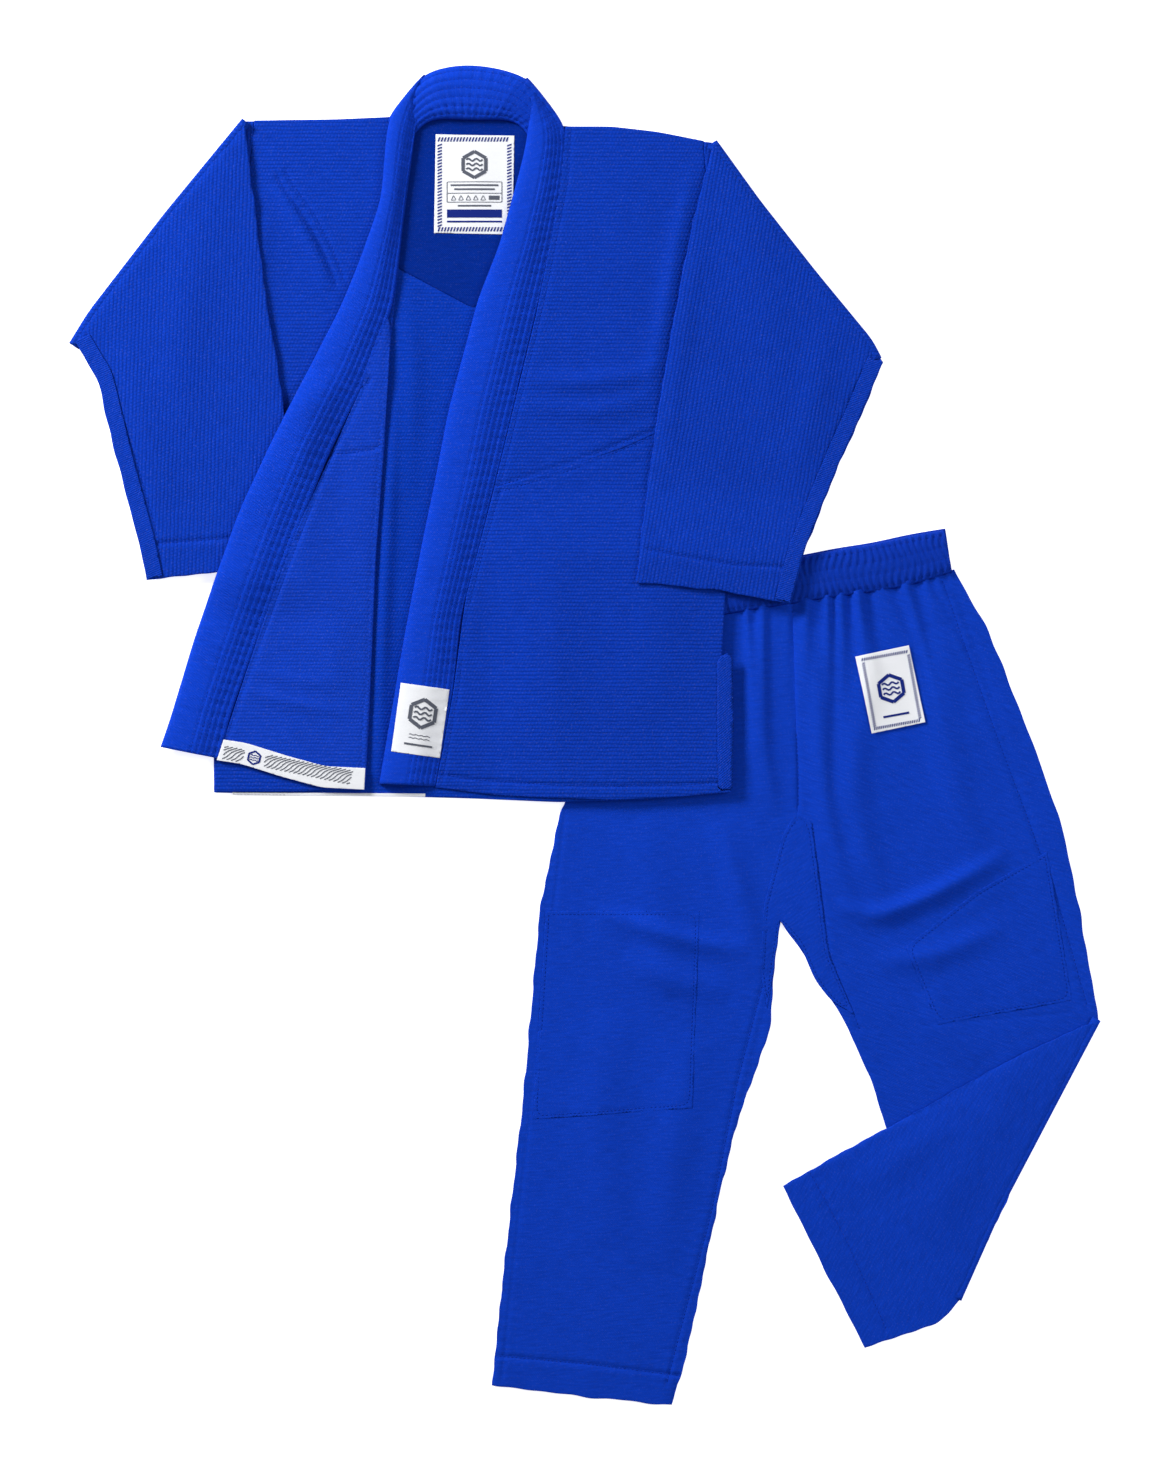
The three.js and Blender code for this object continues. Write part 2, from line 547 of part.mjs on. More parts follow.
function foldedLegOutline() {
  const middle = [(FOLD_OUTER[0] + FOLD_INNER[0]) / 2, (FOLD_OUTER[1] + FOLD_INNER[1]) / 2];
  const cuffMiddle = along(middle, SHIN_DIRECTION, SHIN_LENGTH);
  const cuffTop = along(cuffMiddle, SHIN_DIRECTION - 90.5, LEG_CUFF_WIDTH / 2);
  const cuffLow = along(cuffMiddle, SHIN_DIRECTION + 89.5, LEG_CUFF_WIDTH / 2);
  const points = outline(
    edge(FOLD_OUTER, cuffTop, [-5, -3, -2]),
    edge(cuffTop, cuffLow),
    edge(cuffLow, FOLD_INNER, [-2.5, -6.5, -8]),
    edge(FOLD_INNER, FOLD_OUTER, [3]));
  return { points, cuffTop, cuffLow };
}

function buildTrousers() {
  const legs = legOutlines();
  for (const side of ["left", "right"]) {
    const shape = inset(legs[side], CLEAR / 2);
    add(`${side}_leg_back`, TWILL, trouserLayer(shape, 0));
    add(`${side}_leg_front`, TWILL, trouserLayer(shape, TROUSER_PITCH));
  }
  const overlay = LEG_TOP + CLEAR;
  const leftKnee = [
    [-33, LEG_HEM_Y + 408], [96, LEG_HEM_Y + 408], [90, LEG_HEM_Y + 243], [-44, LEG_HEM_Y + 233]];
  const rightKnee = [
    [269, LEG_HEM_Y + 378], [329, LEG_HEM_Y + 425], [388, LEG_HEM_Y + 458],
    [409, LEG_HEM_Y + 333], [296, LEG_HEM_Y + 313]];
  const shin = foldedLegOutline();
  // A patch sewn to the leg, ending where the folded part of the leg would lie on it.
  const sewn = (points) => outside(trouserLayer(outline(points), overlay, PATCH), shin.points);
  add("left_knee_patch", TWILL, sewn(leftKnee));
  add("right_knee_patch", TWILL, sewn(rightKnee));
  const gusset = [
    [CROTCH[0], CROTCH[1] - 1], [190, WAIST_Y - 181], [197, WAIST_Y - 235], [204, WAIST_Y - 290],
    [226, WAIST_Y - 342], [207, WAIST_Y - 331], [193, WAIST_Y - 313], [180, WAIST_Y - 282],
    [LEGS_PART[0], LEGS_PART[1] - 2], [158, WAIST_Y - 307], [153, WAIST_Y - 337],
    [147, WAIST_Y - 307], [150, WAIST_Y - 250], [166, WAIST_Y - 190]];
  add("crotch_gusset", TWILL, sewn(gusset));
  const patch = rectangle([256, WAIST_Y - 69], TROUSER_PATCH, 12);
  add("trouser_patch", WHITE_TAPE, trouserLayer(patch, overlay, PATCH));

  const hemStrip = (outer, inner, height) => {
    const line = edge(outer, inner, [-1]);
    const strip = outline(line, reversed(offsetCurve(line, () => CUFF_TAPE_HEIGHT)));
    return trouserLayer(inset(strip, 0.7), height, TAPE);
  };
  const inner = TROUSER_CLOTH + CLEAR;
  add("left_leg_hem_tape", WHITE_TAPE, hemStrip(legs.leftCuffOuter, legs.leftCuffInner, inner));

  const shinShape = inset(shin.points, CLEAR / 2);
  add("right_shin_front", TWILL, trouserLayer(shinShape, LEG_FOLD_BASE));
  add("right_shin_back", TWILL, trouserLayer(shinShape, LEG_FOLD_BASE + TROUSER_PITCH));
  add("right_leg_hem_tape", WHITE_TAPE, hemStrip(shin.cuffTop, shin.cuffLow, LEG_FOLD_BASE + inner));
}

// ---- Waistband: a casing in two runs, each round one run of the elastic ----
function buildWaistband() {
  const lower = waistSeam;
  const upper = offsetCurve(waistSeam, () => WAISTBAND_HEIGHT);
  const region = inset(outline(lower, reversed(upper)), CLEAR / 2);
  const elastic = inset(region, 4);
  const slot = inset(elastic, -CLEAR);
  const [start, next] = waistSeam;
  const slope = THREE.MathUtils.radToDeg(Math.atan2(next[1] - start[1], next[0] - start[0]));
  // The casing is open at the hidden side seam, where the elastic runs on round the back.
  const mouth = slot.map((p) => (p[0] < start[0] + 12 ? along(p, slope + 180, 30) : p));
  const elasticThickness = WAIST_RUN - 2 * WAIST_CLOTH - 2 * CLEAR;
  ["back", "front"].forEach((run, i) => {
    const low = i * (WAIST_RUN + CLEAR);
    const casing = prism(region, low, low + WAIST_RUN);
    const hollow = prism(mouth, low + WAIST_CLOTH, low + WAIST_RUN - WAIST_CLOTH);
    add(`waistband_${run}`, TWILL, casing.subtract(hollow));
    const band = prism(elastic, low + WAIST_CLOTH + CLEAR, low + WAIST_CLOTH + CLEAR + elasticThickness);
    add(`waist_elastic_${run}`, ELASTIC, band);
  });
}

buildTrousers();
buildWaistband();
buildBack();
buildLeftFront();
buildRightFront();
buildCollar();
buildTurnedFront();
buildSleeve("left");
buildSleeve("right");

// The origin is the middle of the laid-out uniform, on the surface that it lies on.
const extent = new THREE.Box3().setFromObject(uniform);
const centre = extent.getCenter(new THREE.Vector3());
uniform.position.set(-centre.x, -centre.y, -extent.min.z);
uniform.updateMatrixWorld(true);

export default uniform;
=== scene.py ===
"""A child's martial arts uniform, laid flat.

The jacket lies over the trousers. Its left front is turned back, both sleeves are folded back, and the right
lower leg of the trousers is folded up. Left and right in names are as seen from above.
"""
import logging
import math
from dataclasses import dataclass, field
from enum import Enum

import bmesh
import bpy
import numpy as np
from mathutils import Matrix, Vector
from mathutils.bvhtree import BVHTree
from mathutils.geometry import delaunay_2d_cdt


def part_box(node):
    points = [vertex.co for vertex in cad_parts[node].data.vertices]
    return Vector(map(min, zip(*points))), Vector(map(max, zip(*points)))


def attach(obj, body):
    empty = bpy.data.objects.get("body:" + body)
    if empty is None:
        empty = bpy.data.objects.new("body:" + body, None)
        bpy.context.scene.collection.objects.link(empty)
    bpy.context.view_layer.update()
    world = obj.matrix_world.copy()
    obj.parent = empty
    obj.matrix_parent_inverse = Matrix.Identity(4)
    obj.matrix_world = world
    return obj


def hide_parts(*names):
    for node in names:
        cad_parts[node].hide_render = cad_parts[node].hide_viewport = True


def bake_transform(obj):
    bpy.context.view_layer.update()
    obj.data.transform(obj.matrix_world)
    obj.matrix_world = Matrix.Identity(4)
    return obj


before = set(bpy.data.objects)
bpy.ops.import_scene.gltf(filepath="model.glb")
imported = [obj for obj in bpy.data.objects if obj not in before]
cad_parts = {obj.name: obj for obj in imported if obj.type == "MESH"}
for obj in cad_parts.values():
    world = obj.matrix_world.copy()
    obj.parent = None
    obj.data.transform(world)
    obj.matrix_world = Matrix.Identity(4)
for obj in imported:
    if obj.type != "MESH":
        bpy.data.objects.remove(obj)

logging.basicConfig(level=logging.INFO, format="%(message)s")
LOG = logging.getLogger("uniform")

MESH_PITCH = 0.0030
STITCH_PITCH = 0.0034
STITCH_OVERLAP = 0.0003
JACKET_CLOTH = 0.0016
TROUSER_CLOTH = 0.0010
LABEL_CLOTH = 0.0004
FOLD_CLOTH = 0.0007
SHEET_LEAST_SIDE = 0.0101  # a sheet's logged cut size is no narrower than this, even where less of the cloth is drawn
SHEET_LEAST_FILL = 0.301  # and its area is raised to no less than this share of its rectangle, though nothing uses that area
EDGE_STEPS = (0.12, 0.45, 1.0)  # mesh rings inside a rounded edge, in cloth thicknesses
PRINT_RISE, PRINT_SINK = 0.00030, 0.00005
CLOTH_SHEEN = 0.03
THREAD_WANDER = (0.0012, 0.0012, 0.0)
FLECK_COLOUR = (0.55, 0.62, 0.85, 1.0)


def mm(*points: tuple[float, float]) -> np.ndarray:
    """Points written in millimetres, as metres.

    Args:
        points: (x, y) pairs in the object's frame.

    Returns:
        An array of one row per point.
    """
    return np.array(points, float) / 1000.0


def linear(red: int, green: int, blue: int, gain: float = 1.0) -> tuple[float, float, float, float]:
    """A display colour as the shader wants it.

    Args:
        red: Red, 0 to 255.
        green: Green, 0 to 255.
        blue: Blue, 0 to 255.
        gain: Factor on the linear value.

    Returns:
        Linear red, green, blue and alpha.
    """
    values = []
    for byte in (red, green, blue):
        c = byte / 255.0
        c = c / 12.92 if c <= 0.04045 else ((c + 0.055) / 1.055) ** 2.4
        values.append(min(1.0, c * gain))
    return (values[0], values[1], values[2], 1.0)


# Seams, folds and edges of the garment, in millimetres in the object's frame.
COLLAR_OUTER = mm((-168, 516), (-166, 522), (-160, 530), (-152, 538), (-146, 547), (-139, 555), (-124, 561),
                  (-101, 564), (-75, 561), (-50, 553), (-43, 546), (-37, 537), (-27, 524), (-17, 510),
                  (-17, 504))
COLLAR_INNER = mm((-144, 506), (-141, 512), (-136, 516), (-128, 518), (-120, 518), (-112, 517), (-104, 517),
                  (-95, 516), (-83, 517), (-75, 517), (-71, 517), (-63, 517), (-57, 515), (-52, 511),
                  (-50, 504))
LEFT_LAPEL_OUTER = mm((-137, 555), (-144, 549), (-151, 539), (-159, 530.5), (-165, 522), (-168, 511),
                      (-169, 500), (-173, 450), (-191, 399), (-207, 360), (-240, 296), (-254, 268),
                      (-266, 244), (-292, 188), (-329, 84), (-350, 14), (-358, -9))
LEFT_LAPEL_INNER = mm((-134, 553), (-138, 547), (-139.5, 540), (-140.5, 531), (-142, 520), (-144, 508),
                      (-145, 500), (-152, 456), (-158, 399), (-163, 360), (-185, 299), (-201, 268),
                      (-217, 235), (-245, 164), (-271, 95), (-299, 18), (-308, -19))
RIGHT_LAPEL_OUTER = mm((-50, 553), (-43, 546), (-36.5, 537), (-26.5, 524), (-17, 510), (-17.5, 490),
                       (-20, 467), (-30, 415), (-40, 367), (-66, 258), (-78, 209), (-88, 169), (-106, 100),
                       (-112, 40), (-127, -42))
RIGHT_LAPEL_INNER = mm((-54, 551), (-50, 546), (-48.5, 538), (-48.5, 526), (-49.5, 510), (-53, 490),
                       (-60, 463), (-74, 412), (-92, 367), (-117, 273), (-128, 215), (-138, 167),
                       (-155, 78), (-163, 30), (-175, -40))
LEFT_FOLD = mm((-155, 440), (-159, 392), (-162, 367), (-169, 305), (-172, 244), (-179, 154), (-185, 14),
               (-188, -40))
RIGHT_SLEEVE_FOLD = mm((106, 498), (142, 448), (190, 387), (237, 330), (244, 316))
LEFT_SLEEVE_FOLD = mm((-287, 516), (-352, 437), (-416, 354), (-432, 328))
LEFT_SLEEVE_OUTER = mm((-432, 328), (-412, 299), (-406, 273), (-390, 211), (-371, 153), (-367, 132))
LEG_FOLD = mm((429, -238), (390, -312), (348, -392), (312, -473))


class Weave(Enum):
    """The kinds of surface a finish can have."""

    PEARL = "pearl"
    TWILL = "twill"
    SMOOTH = "smooth"
    RIB = "rib"


class Bench:
    """Places and links the nodes of one material."""

    def __init__(self, material: bpy.types.Material) -> None:
        """Opens a material's node tree.

        Args:
            material: The material, with its nodes in use.
        """
        self.nodes, self.links = material.node_tree.nodes, material.node_tree.links

    def feed(self, socket: bpy.types.NodeSocket, value: object) -> None:
        """Links an input to another node's output, or sets its plain value; None leaves it alone."""
        if isinstance(value, bpy.types.NodeSocket):
            self.links.new(value, socket)
        elif value is not None:
            socket.default_value = value

    def math(self, operation: str, first: object, second: object = None) -> bpy.types.NodeSocket:
        """One arithmetic node, its inputs sockets or numbers; returns its output socket."""
        node = self.nodes.new("ShaderNodeMath")
        node.operation = operation
        self.feed(node.inputs[0], first)
        self.feed(node.inputs[1], second)
        return node.outputs[0]

    def ridges(self, run: object) -> bpy.types.NodeSocket:
        """A row of round ridges, one for each whole step of run; returns its output socket."""
        return self.math("ABSOLUTE", self.math("SINE", self.math("MULTIPLY", run, math.pi)))

    def noise(self, place: object, scale: float, detail: float = 2.0,
              output: str = "Fac") -> bpy.types.NodeSocket:
        """A noise texture over the cloth coordinates; returns the output socket asked for."""
        node = self.nodes.new("ShaderNodeTexNoise")
        node.inputs["Scale"].default_value = scale
        node.inputs["Detail"].default_value = detail
        self.feed(node.inputs["Vector"], place)
        return node.outputs[output]

    def mix(self, share: object, first: object, second: object, clamp: bool = True) -> bpy.types.NodeSocket:
        """A blend of two colours by a share; returns its output socket."""
        node = self.nodes.new("ShaderNodeMix")
        node.data_type = "RGBA"
        node.clamp_factor = clamp
        for socket, value in zip((node.inputs[0], node.inputs[6], node.inputs[7]), (share, first, second)):
            self.feed(socket, value)
        return node.outputs[2]


@dataclass(frozen=True)
class Finish:
    """A procedural cloth finish.

    Attributes:
        name: Material name.
        slot: The record's finish that it stands for, or nothing for thread and print; not used.
        colour: Linear base colour.
        weave: Kind of surface.
        pitch: Width and height of one stitch of the weave, in metres.
        contrast: How much darker the hollows of the weave are, 0 to 1.
        relief: Height of the weave, in metres.
        fleck: How pale the loose fibres are, 0 to 1.
        mottle: Slow change of shade over the cloth, 0 to 1.
        roughness: Roughness of the surface.
        slub: How much the single threads differ in shade, 0 to 1.
    """

    name: str
    slot: str
    colour: tuple[float, float, float, float]
    weave: Weave = Weave.TWILL
    pitch: tuple[float, float] = (0.002, 0.003)
    contrast: float = 0.25
    relief: float = 0.0004
    fleck: float = 0.06
    mottle: float = 0.12
    roughness: float = 0.95
    slub: float = 0.45

    def weave_height(self, bench: Bench, cloth: object, across: object, along: object) -> object:
        """The height of the weave, 0 to 1.

        Args:
            bench: The material's bench.
            cloth: The cloth coordinates.
            across: Stitches counted across the cloth.
            along: Rows counted along it.

        Returns:
            The output socket of the height.
        """
        if self.weave is Weave.PEARL:
            shifted = bench.math("ADD", across, bench.math("MULTIPLY", bench.math("FLOOR", along), 0.5))
            grain = bench.math("ADD", bench.math("MULTIPLY", bench.ridges(shifted), 0.6), 0.4)
            return bench.math("MULTIPLY", grain, bench.ridges(along))
        if self.weave is Weave.TWILL:
            return bench.ridges(bench.math("ADD", across, along))
        if self.weave is Weave.RIB:
            return bench.ridges(across)
        return bench.noise(cloth, 900.0)

    def material(self) -> bpy.types.Material:
        """Builds the node material once.

        Returns:
            The material of this finish.
        """
        name = f"{self.name}_finish"
        if name in bpy.data.materials:
            return bpy.data.materials[name]
        made = bpy.data.materials.new(name)
        made.use_nodes = True
        bench = Bench(made)
        shader = bench.nodes["Principled BSDF"]
        shader.inputs["Roughness"].default_value = self.roughness
        shader.inputs["Specular IOR Level"].default_value = CLOTH_SHEEN
        cloth_map = bench.nodes.new("ShaderNodeUVMap")
        cloth_map.uv_map = "cloth"
        cloth = cloth_map.outputs["UV"]
        bend = bench.nodes.new("ShaderNodeVectorMath")
        bend.operation = "MULTIPLY_ADD"
        for socket, value in zip(bend.inputs, (bench.noise(cloth, 90.0, output="Color"), THREAD_WANDER,
                                               cloth)):
            bench.feed(socket, value)
        split = bench.nodes.new("ShaderNodeSeparateXYZ")
        bench.feed(split.inputs["Vector"], bend.outputs["Vector"])
        across = bench.math("DIVIDE", split.outputs["X"], self.pitch[0])
        along = bench.math("DIVIDE", split.outputs["Y"], self.pitch[1])
        height = self.weave_height(bench, cloth, across, along)
        fibre = bench.noise(cloth, 650.0, 3.0)
        slow = bench.noise(cloth, 14.0, 4.0)
        stretched = bench.nodes.new("ShaderNodeMapping")
        stretched.inputs["Scale"].default_value = (0.13, 1.0, 1.0)
        bench.feed(stretched.inputs["Vector"], cloth)
        threads = bench.noise(stretched.outputs["Vector"], 620.0, 1.0)
        shade = bench.math("ADD", bench.math("MULTIPLY", height, self.contrast), 1.0 - self.contrast)
        drift = bench.math("ADD", bench.math("MULTIPLY", slow, 2 * self.mottle), 1.0 - self.mottle)
        uneven = bench.math("ADD", bench.math("MULTIPLY", threads, self.slub), 1.0 - 0.5 * self.slub)
        tone = bench.math("MULTIPLY", bench.math("MULTIPLY", shade, drift), uneven)
        tinted = bench.mix(tone, (0.0, 0.0, 0.0, 1.0), self.colour, clamp=False)
        pale = bench.nodes.new("ShaderNodeMapRange")
        for socket, value in (("Value", fibre), ("From Min", 0.56), ("From Max", 0.78),
                              ("To Max", self.fleck)):
            bench.feed(pale.inputs[socket], value)
        bench.feed(shader.inputs["Base Color"], bench.mix(pale.outputs["Result"], tinted, FLECK_COLOUR))
        bump = bench.nodes.new("ShaderNodeBump")
        bump.inputs["Strength"].default_value = 0.7
        bump.inputs["Distance"].default_value = self.relief
        rough = bench.math("ADD", bench.math("MULTIPLY", fibre, 0.35),
                           bench.math("MULTIPLY", threads, self.slub))
        bench.feed(bump.inputs["Height"], bench.math("ADD", height, rough))
        bench.feed(shader.inputs["Normal"], bump.outputs["Normal"])
        return made


PEARL = Finish("pearl_weave", "pearl_weave", linear(11, 55, 173), Weave.PEARL, (0.0028, 0.0032), 0.26, 0.0005,
               0.05, 0.07)
PEARL_INSIDE = Finish("pearl_weave_inside", "pearl_weave", linear(15, 58, 178), Weave.PEARL, (0.0026, 0.0030),
                      0.14, 0.0004, 0.06, 0.08)
# The back's inside blue is darker overall: painted shade standing for the shadow over the back's upper part.
BACK_INSIDE_PAINTED_SHADE = Finish("pearl_weave_back_painted_shade", "pearl_weave", linear(7, 53, 168), Weave.PEARL, (0.0026, 0.0030),
                     0.16, 0.0004, 0.05, 0.08)
# The lapel and collar blue is their own blue, painted lighter to offset the shade on their rolled slopes.
LAPEL_PAINTED_LIGHT = Finish("lapel_drill_painted_light", "pearl_weave", linear(13, 60, 190), Weave.TWILL, (0.0016, 0.0016), 0.16, 0.0003,
               0.05, 0.10)
TWILL = Finish("trouser_twill", "trouser_twill", linear(13, 59, 184), Weave.TWILL, (0.0014, 0.0014), 0.16,
               0.0002, 0.03, 0.07)
TWILL_INSIDE = Finish("trouser_twill_inside", "trouser_twill", linear(16, 56, 172), Weave.TWILL,
                      (0.0014, 0.0014), 0.16, 0.0002, 0.03, 0.07)
BAND = Finish("waistband_twill", "trouser_twill", linear(12, 52, 168), Weave.TWILL, (0.0014, 0.0014), 0.18,
              0.0003, 0.03, 0.12)
# The yoke's blue is darker than the cloth's own colour: painted shade for the inside of the neck.
YOKE_PAINTED_SHADE = Finish("yoke_cloth", "pearl_weave", linear(3, 40, 136), Weave.TWILL, (0.0016, 0.0016), 0.14, 0.0003,
              0.03, 0.08)
TAPE = Finish("seam_tape", "pearl_weave", linear(13, 56, 174), Weave.TWILL, (0.0024, 0.0024), 0.25, 0.0004,
              0.06, 0.06)
THREAD = Finish("blue_thread", "", linear(10, 50, 160), Weave.SMOOTH, (0.001, 0.001), 0.2, 0.0001, 0.05, 0.1,
                0.6)
WHITE = Finish("white_tape", "white_tape", linear(236, 238, 243, 0.92), Weave.RIB, (0.0009, 0.0009), 0.06,
               0.0001, 0.0, 0.02, slub=0.05)
LABEL = Finish("woven_label", "woven_label", linear(240, 242, 247, 0.92), Weave.TWILL, (0.0007, 0.0007), 0.05,
               0.00008, 0.0, 0.02, 0.55, slub=0.05)
INK = Finish("grey_print", "", linear(88, 92, 104), Weave.SMOOTH, (0.001, 0.001), 0.1, 0.00005, 0.0, 0.05,
             0.6, slub=0.05)
NAVY = Finish("navy_print", "", linear(24, 40, 120), Weave.SMOOTH, (0.001, 0.001), 0.1, 0.00005, 0.0, 0.05,
              0.6, slub=0.05)


def spaced(line: np.ndarray, pitch: float, closed: bool = False) -> np.ndarray:
    """Points evenly spaced along a line.

    Args:
        line: The line's own points.
        pitch: Wanted distance between two points, in metres.
        closed: Whether the line runs back to its start.

    Returns:
        The new points; a closed line's last point isn't its first again.
    """
    points = np.vstack([line, line[:1]]) if closed else line
    steps = np.linalg.norm(np.diff(points, axis=0), axis=1)
    run = np.concatenate([[0.0], np.cumsum(steps)])
    count = max(2, int(round(run[-1] / pitch)))
    at = np.linspace(0.0, run[-1], count + 1)
    if closed:
        at = at[:-1]
    return np.column_stack([np.interp(at, run, points[:, i]) for i in range(points.shape[1])])


def length_of(line: np.ndarray) -> float:
    """The length of a line of points."""
    return float(np.linalg.norm(np.diff(line, axis=0), axis=1).sum())


def smooth_line(line: np.ndarray, pitch: float, passes: int = 6) -> np.ndarray:
    """An open line with its bends rounded.

    Args:
        line: The line's own points.
        pitch: Distance between the new points, in metres.
        passes: How often each point is drawn to its neighbours.

    Returns:
        The rounded line.
    """
    points = spaced(line, pitch)
    for _ in range(passes):
        points[1:-1] = 0.5 * points[1:-1] + 0.25 * (points[:-2] + points[2:])
    return points


def nearest(points: np.ndarray, line: np.ndarray, closed: bool = False) -> tuple[np.ndarray, np.ndarray,
                                                                                 np.ndarray]:
    """How far each point is from a line, and where along it.

    Args:
        points: Points in plan.
        line: The line's points.
        closed: Whether the line runs back to its start.

    Returns:
        Distance, run along the line, and the side (+1 left of the line's run, -1 right), one each per point.
    """
    ends = np.vstack([line, line[:1]]) if closed else line
    best = np.full(len(points), 1e9)
    run_at = np.zeros(len(points))
    side = np.ones(len(points))
    run = 0.0
    for a, b in zip(ends[:-1], ends[1:]):
        d = b - a
        length = float(np.hypot(*d))
        if length < 1e-9:
            continue
        rel = points - a
        t = np.clip((rel @ d) / (length * length), 0.0, 1.0)
        gap = np.hypot(rel[:, 0] - t * d[0], rel[:, 1] - t * d[1])
        closer = gap < best
        best[closer] = gap[closer]
        run_at[closer] = run + t[closer] * length
        side[closer] = np.where(d[0] * rel[closer, 1] - d[1] * rel[closer, 0] >= 0, 1.0, -1.0)
        run += length
    return best, run_at, side


def merged(node: str) -> bmesh.types.BMesh:
    """A model node's mesh with its split vertices joined.

    Args:
        node: Name of the node.

    Returns:
        A new bmesh, which the caller frees.
    """
    mesh = bmesh.new()
    mesh.from_mesh(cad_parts[node].data)
    mesh.transform(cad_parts[node].matrix_world)
    bmesh.ops.remove_doubles(mesh, verts=mesh.verts, dist=1e-5)
    mesh.normal_update()
    return mesh


def loops_of(edges: list[tuple[int, int]]) -> list[list[int]]:
    """Directed edges chained to closed loops.

    Args:
        edges: Pairs of vertex numbers.

    Returns:
        The loops, longest first.
    """
    follow = {}
    for a, b in edges:
        follow.setdefault(a, []).append(b)
    loops = []
    while follow:
        start = next(iter(follow))
        loop, here = [], start
        while here in follow:
            loop.append(here)
            after = follow[here].pop()
            if not follow[here]:
                del follow[here]
            here = after
            if here == start:
                break
        loops.append(loop)
    return sorted(loops, key=len, reverse=True)


def grown(points: np.ndarray, by: float) -> np.ndarray:
    """A counter-clockwise loop pushed outward.

    Args:
        points: The loop.
        by: How far, in metres.

    Returns:
        The pushed loop.
    """
    before, after = np.roll(points, 1, 0), np.roll(points, -1, 0)
    a, b = points - before, after - points
    a /= np.linalg.norm(a, axis=1)[:, None] + 1e-12
    b /= np.linalg.norm(b, axis=1)[:, None] + 1e-12
    na, nb = np.column_stack([a[:, 1], -a[:, 0]]), np.column_stack([b[:, 1], -b[:, 0]])
    middle = na + nb
    middle /= np.linalg.norm(middle, axis=1)[:, None] + 1e-12
    stretch = np.clip(1.0 / np.maximum(0.35, (middle * na).sum(1)), 1.0, 2.0)
    return points + middle * (by * stretch)[:, None]


def signed_area(points: np.ndarray) -> float:
    """The area within a loop, positive if it runs counter-clockwise."""
    x, y = points[:, 0], points[:, 1]
    return float(0.5 * np.sum(x * np.roll(y, -1) - np.roll(x, -1) * y))


@dataclass
class Loop:
    """A closed outline in plan.

    Attributes:
        points: Its points, counter-clockwise, in metres.
    """

    points: np.ndarray

    @classmethod
    def around(cls, *nodes: str, grow: float = 0.0005, extra: tuple = ()) -> "Loop":
        """The outline round one or more model nodes seen from above.

        Args:
            nodes: Names of the nodes, which touch or nearly touch.
            grow: How far each one's outline is pushed out first.
            extra: More outlines, counter-clockwise, that belong to it.

        Returns:
            The joined outline.
        """
        verts, faces = [], []
        for node in nodes:
            mesh = merged(node)
            up = {f for f in mesh.faces if f.normal.z > 0.3}
            edges, at = [], {}
            for f in up:
                for loop in f.loops:
                    if not any(g is not f and g in up for g in loop.edge.link_faces):
                        a, b = loop.vert, loop.link_loop_next.vert
                        edges.append((a.index, b.index))
                        at[a.index], at[b.index] = a.co.copy(), b.co.copy()
            for chain in loops_of(edges)[:1]:
                ring = np.array([at[i][:2] for i in chain])
                if signed_area(ring) < 0:
                    ring = ring[::-1]
                ring = grown(ring, grow)
                faces.append(list(range(len(verts), len(verts) + len(ring))))
                verts += [Vector(p) for p in ring]
            mesh.free()
        for ring in extra:
            faces.append(list(range(len(verts), len(verts) + len(ring))))
            verts += [Vector(p) for p in ring]
        made = delaunay_2d_cdt(verts, [], faces, 1, 1e-6)
        once = {}
        for f in made[2]:
            for a, b in zip(f, f[1:] + f[:1]):
                once[(a, b)] = True
        chains = loops_of([(a, b) for a, b in once if (b, a) not in once])
        rings = [np.array([made[0][i][:] for i in c]) for c in chains if len(c) > 2]
        best = max(rings, key=lambda r: abs(signed_area(r)))
        if signed_area(best) < 0:
            best = best[::-1]
        return cls(best)

    def evened(self, pitch: float) -> "Loop":
        """The outline with its points evenly spaced and its bends rounded, corners kept.

        Args:
            pitch: Distance between two points.

        Returns:
            The new outline.
        """
        p = self.points
        before, after = p - np.roll(p, 1, 0), np.roll(p, -1, 0) - p
        turn = np.abs(np.arctan2(before[:, 0] * after[:, 1] - before[:, 1] * after[:, 0],
                                 (before * after).sum(1)))
        corners = [i for i in range(len(p)) if turn[i] > math.radians(32)]
        if len(corners) < 2:
            return Loop(spaced(p, pitch, True))
        parts = []
        for i, j in zip(corners, corners[1:] + [corners[0] + len(p)]):
            part = np.array([p[k % len(p)] for k in range(i, j + 1)])
            if length_of(part) > 2.5 * pitch:
                part = smooth_line(part, pitch, 5)
            parts.append(part[:-1])
        return Loop(np.vstack(parts))

    def holds(self, points: np.ndarray) -> np.ndarray:
        """Which points lie within the outline.

        Args:
            points: Points in plan.

        Returns:
            True or False per point.
        """
        within = np.zeros(len(points), bool)
        ends = np.roll(self.points, -1, 0)
        for (ax, ay), (bx, by) in zip(self.points, ends):
            if ay == by:
                continue
            crossed = (ay > points[:, 1]) != (by > points[:, 1])
            x = ax + (points[:, 1] - ay) * (bx - ax) / (by - ay)
            within ^= crossed & (points[:, 0] < x)
        return within

    def flat(self) -> tuple[tuple[float, float], float]:
        """The smallest rectangle the cut comes out of, and the cut's own area."""
        best = None
        for degrees in range(0, 90, 3):
            t = math.radians(degrees)
            u = self.points @ np.array([[math.cos(t), -math.sin(t)], [math.sin(t), math.cos(t)]])
            size = u.max(0) - u.min(0)
            if best is None or size[0] * size[1] < best[0] * best[1]:
                best = size
        return (float(best[0]), float(best[1])), abs(signed_area(self.points))


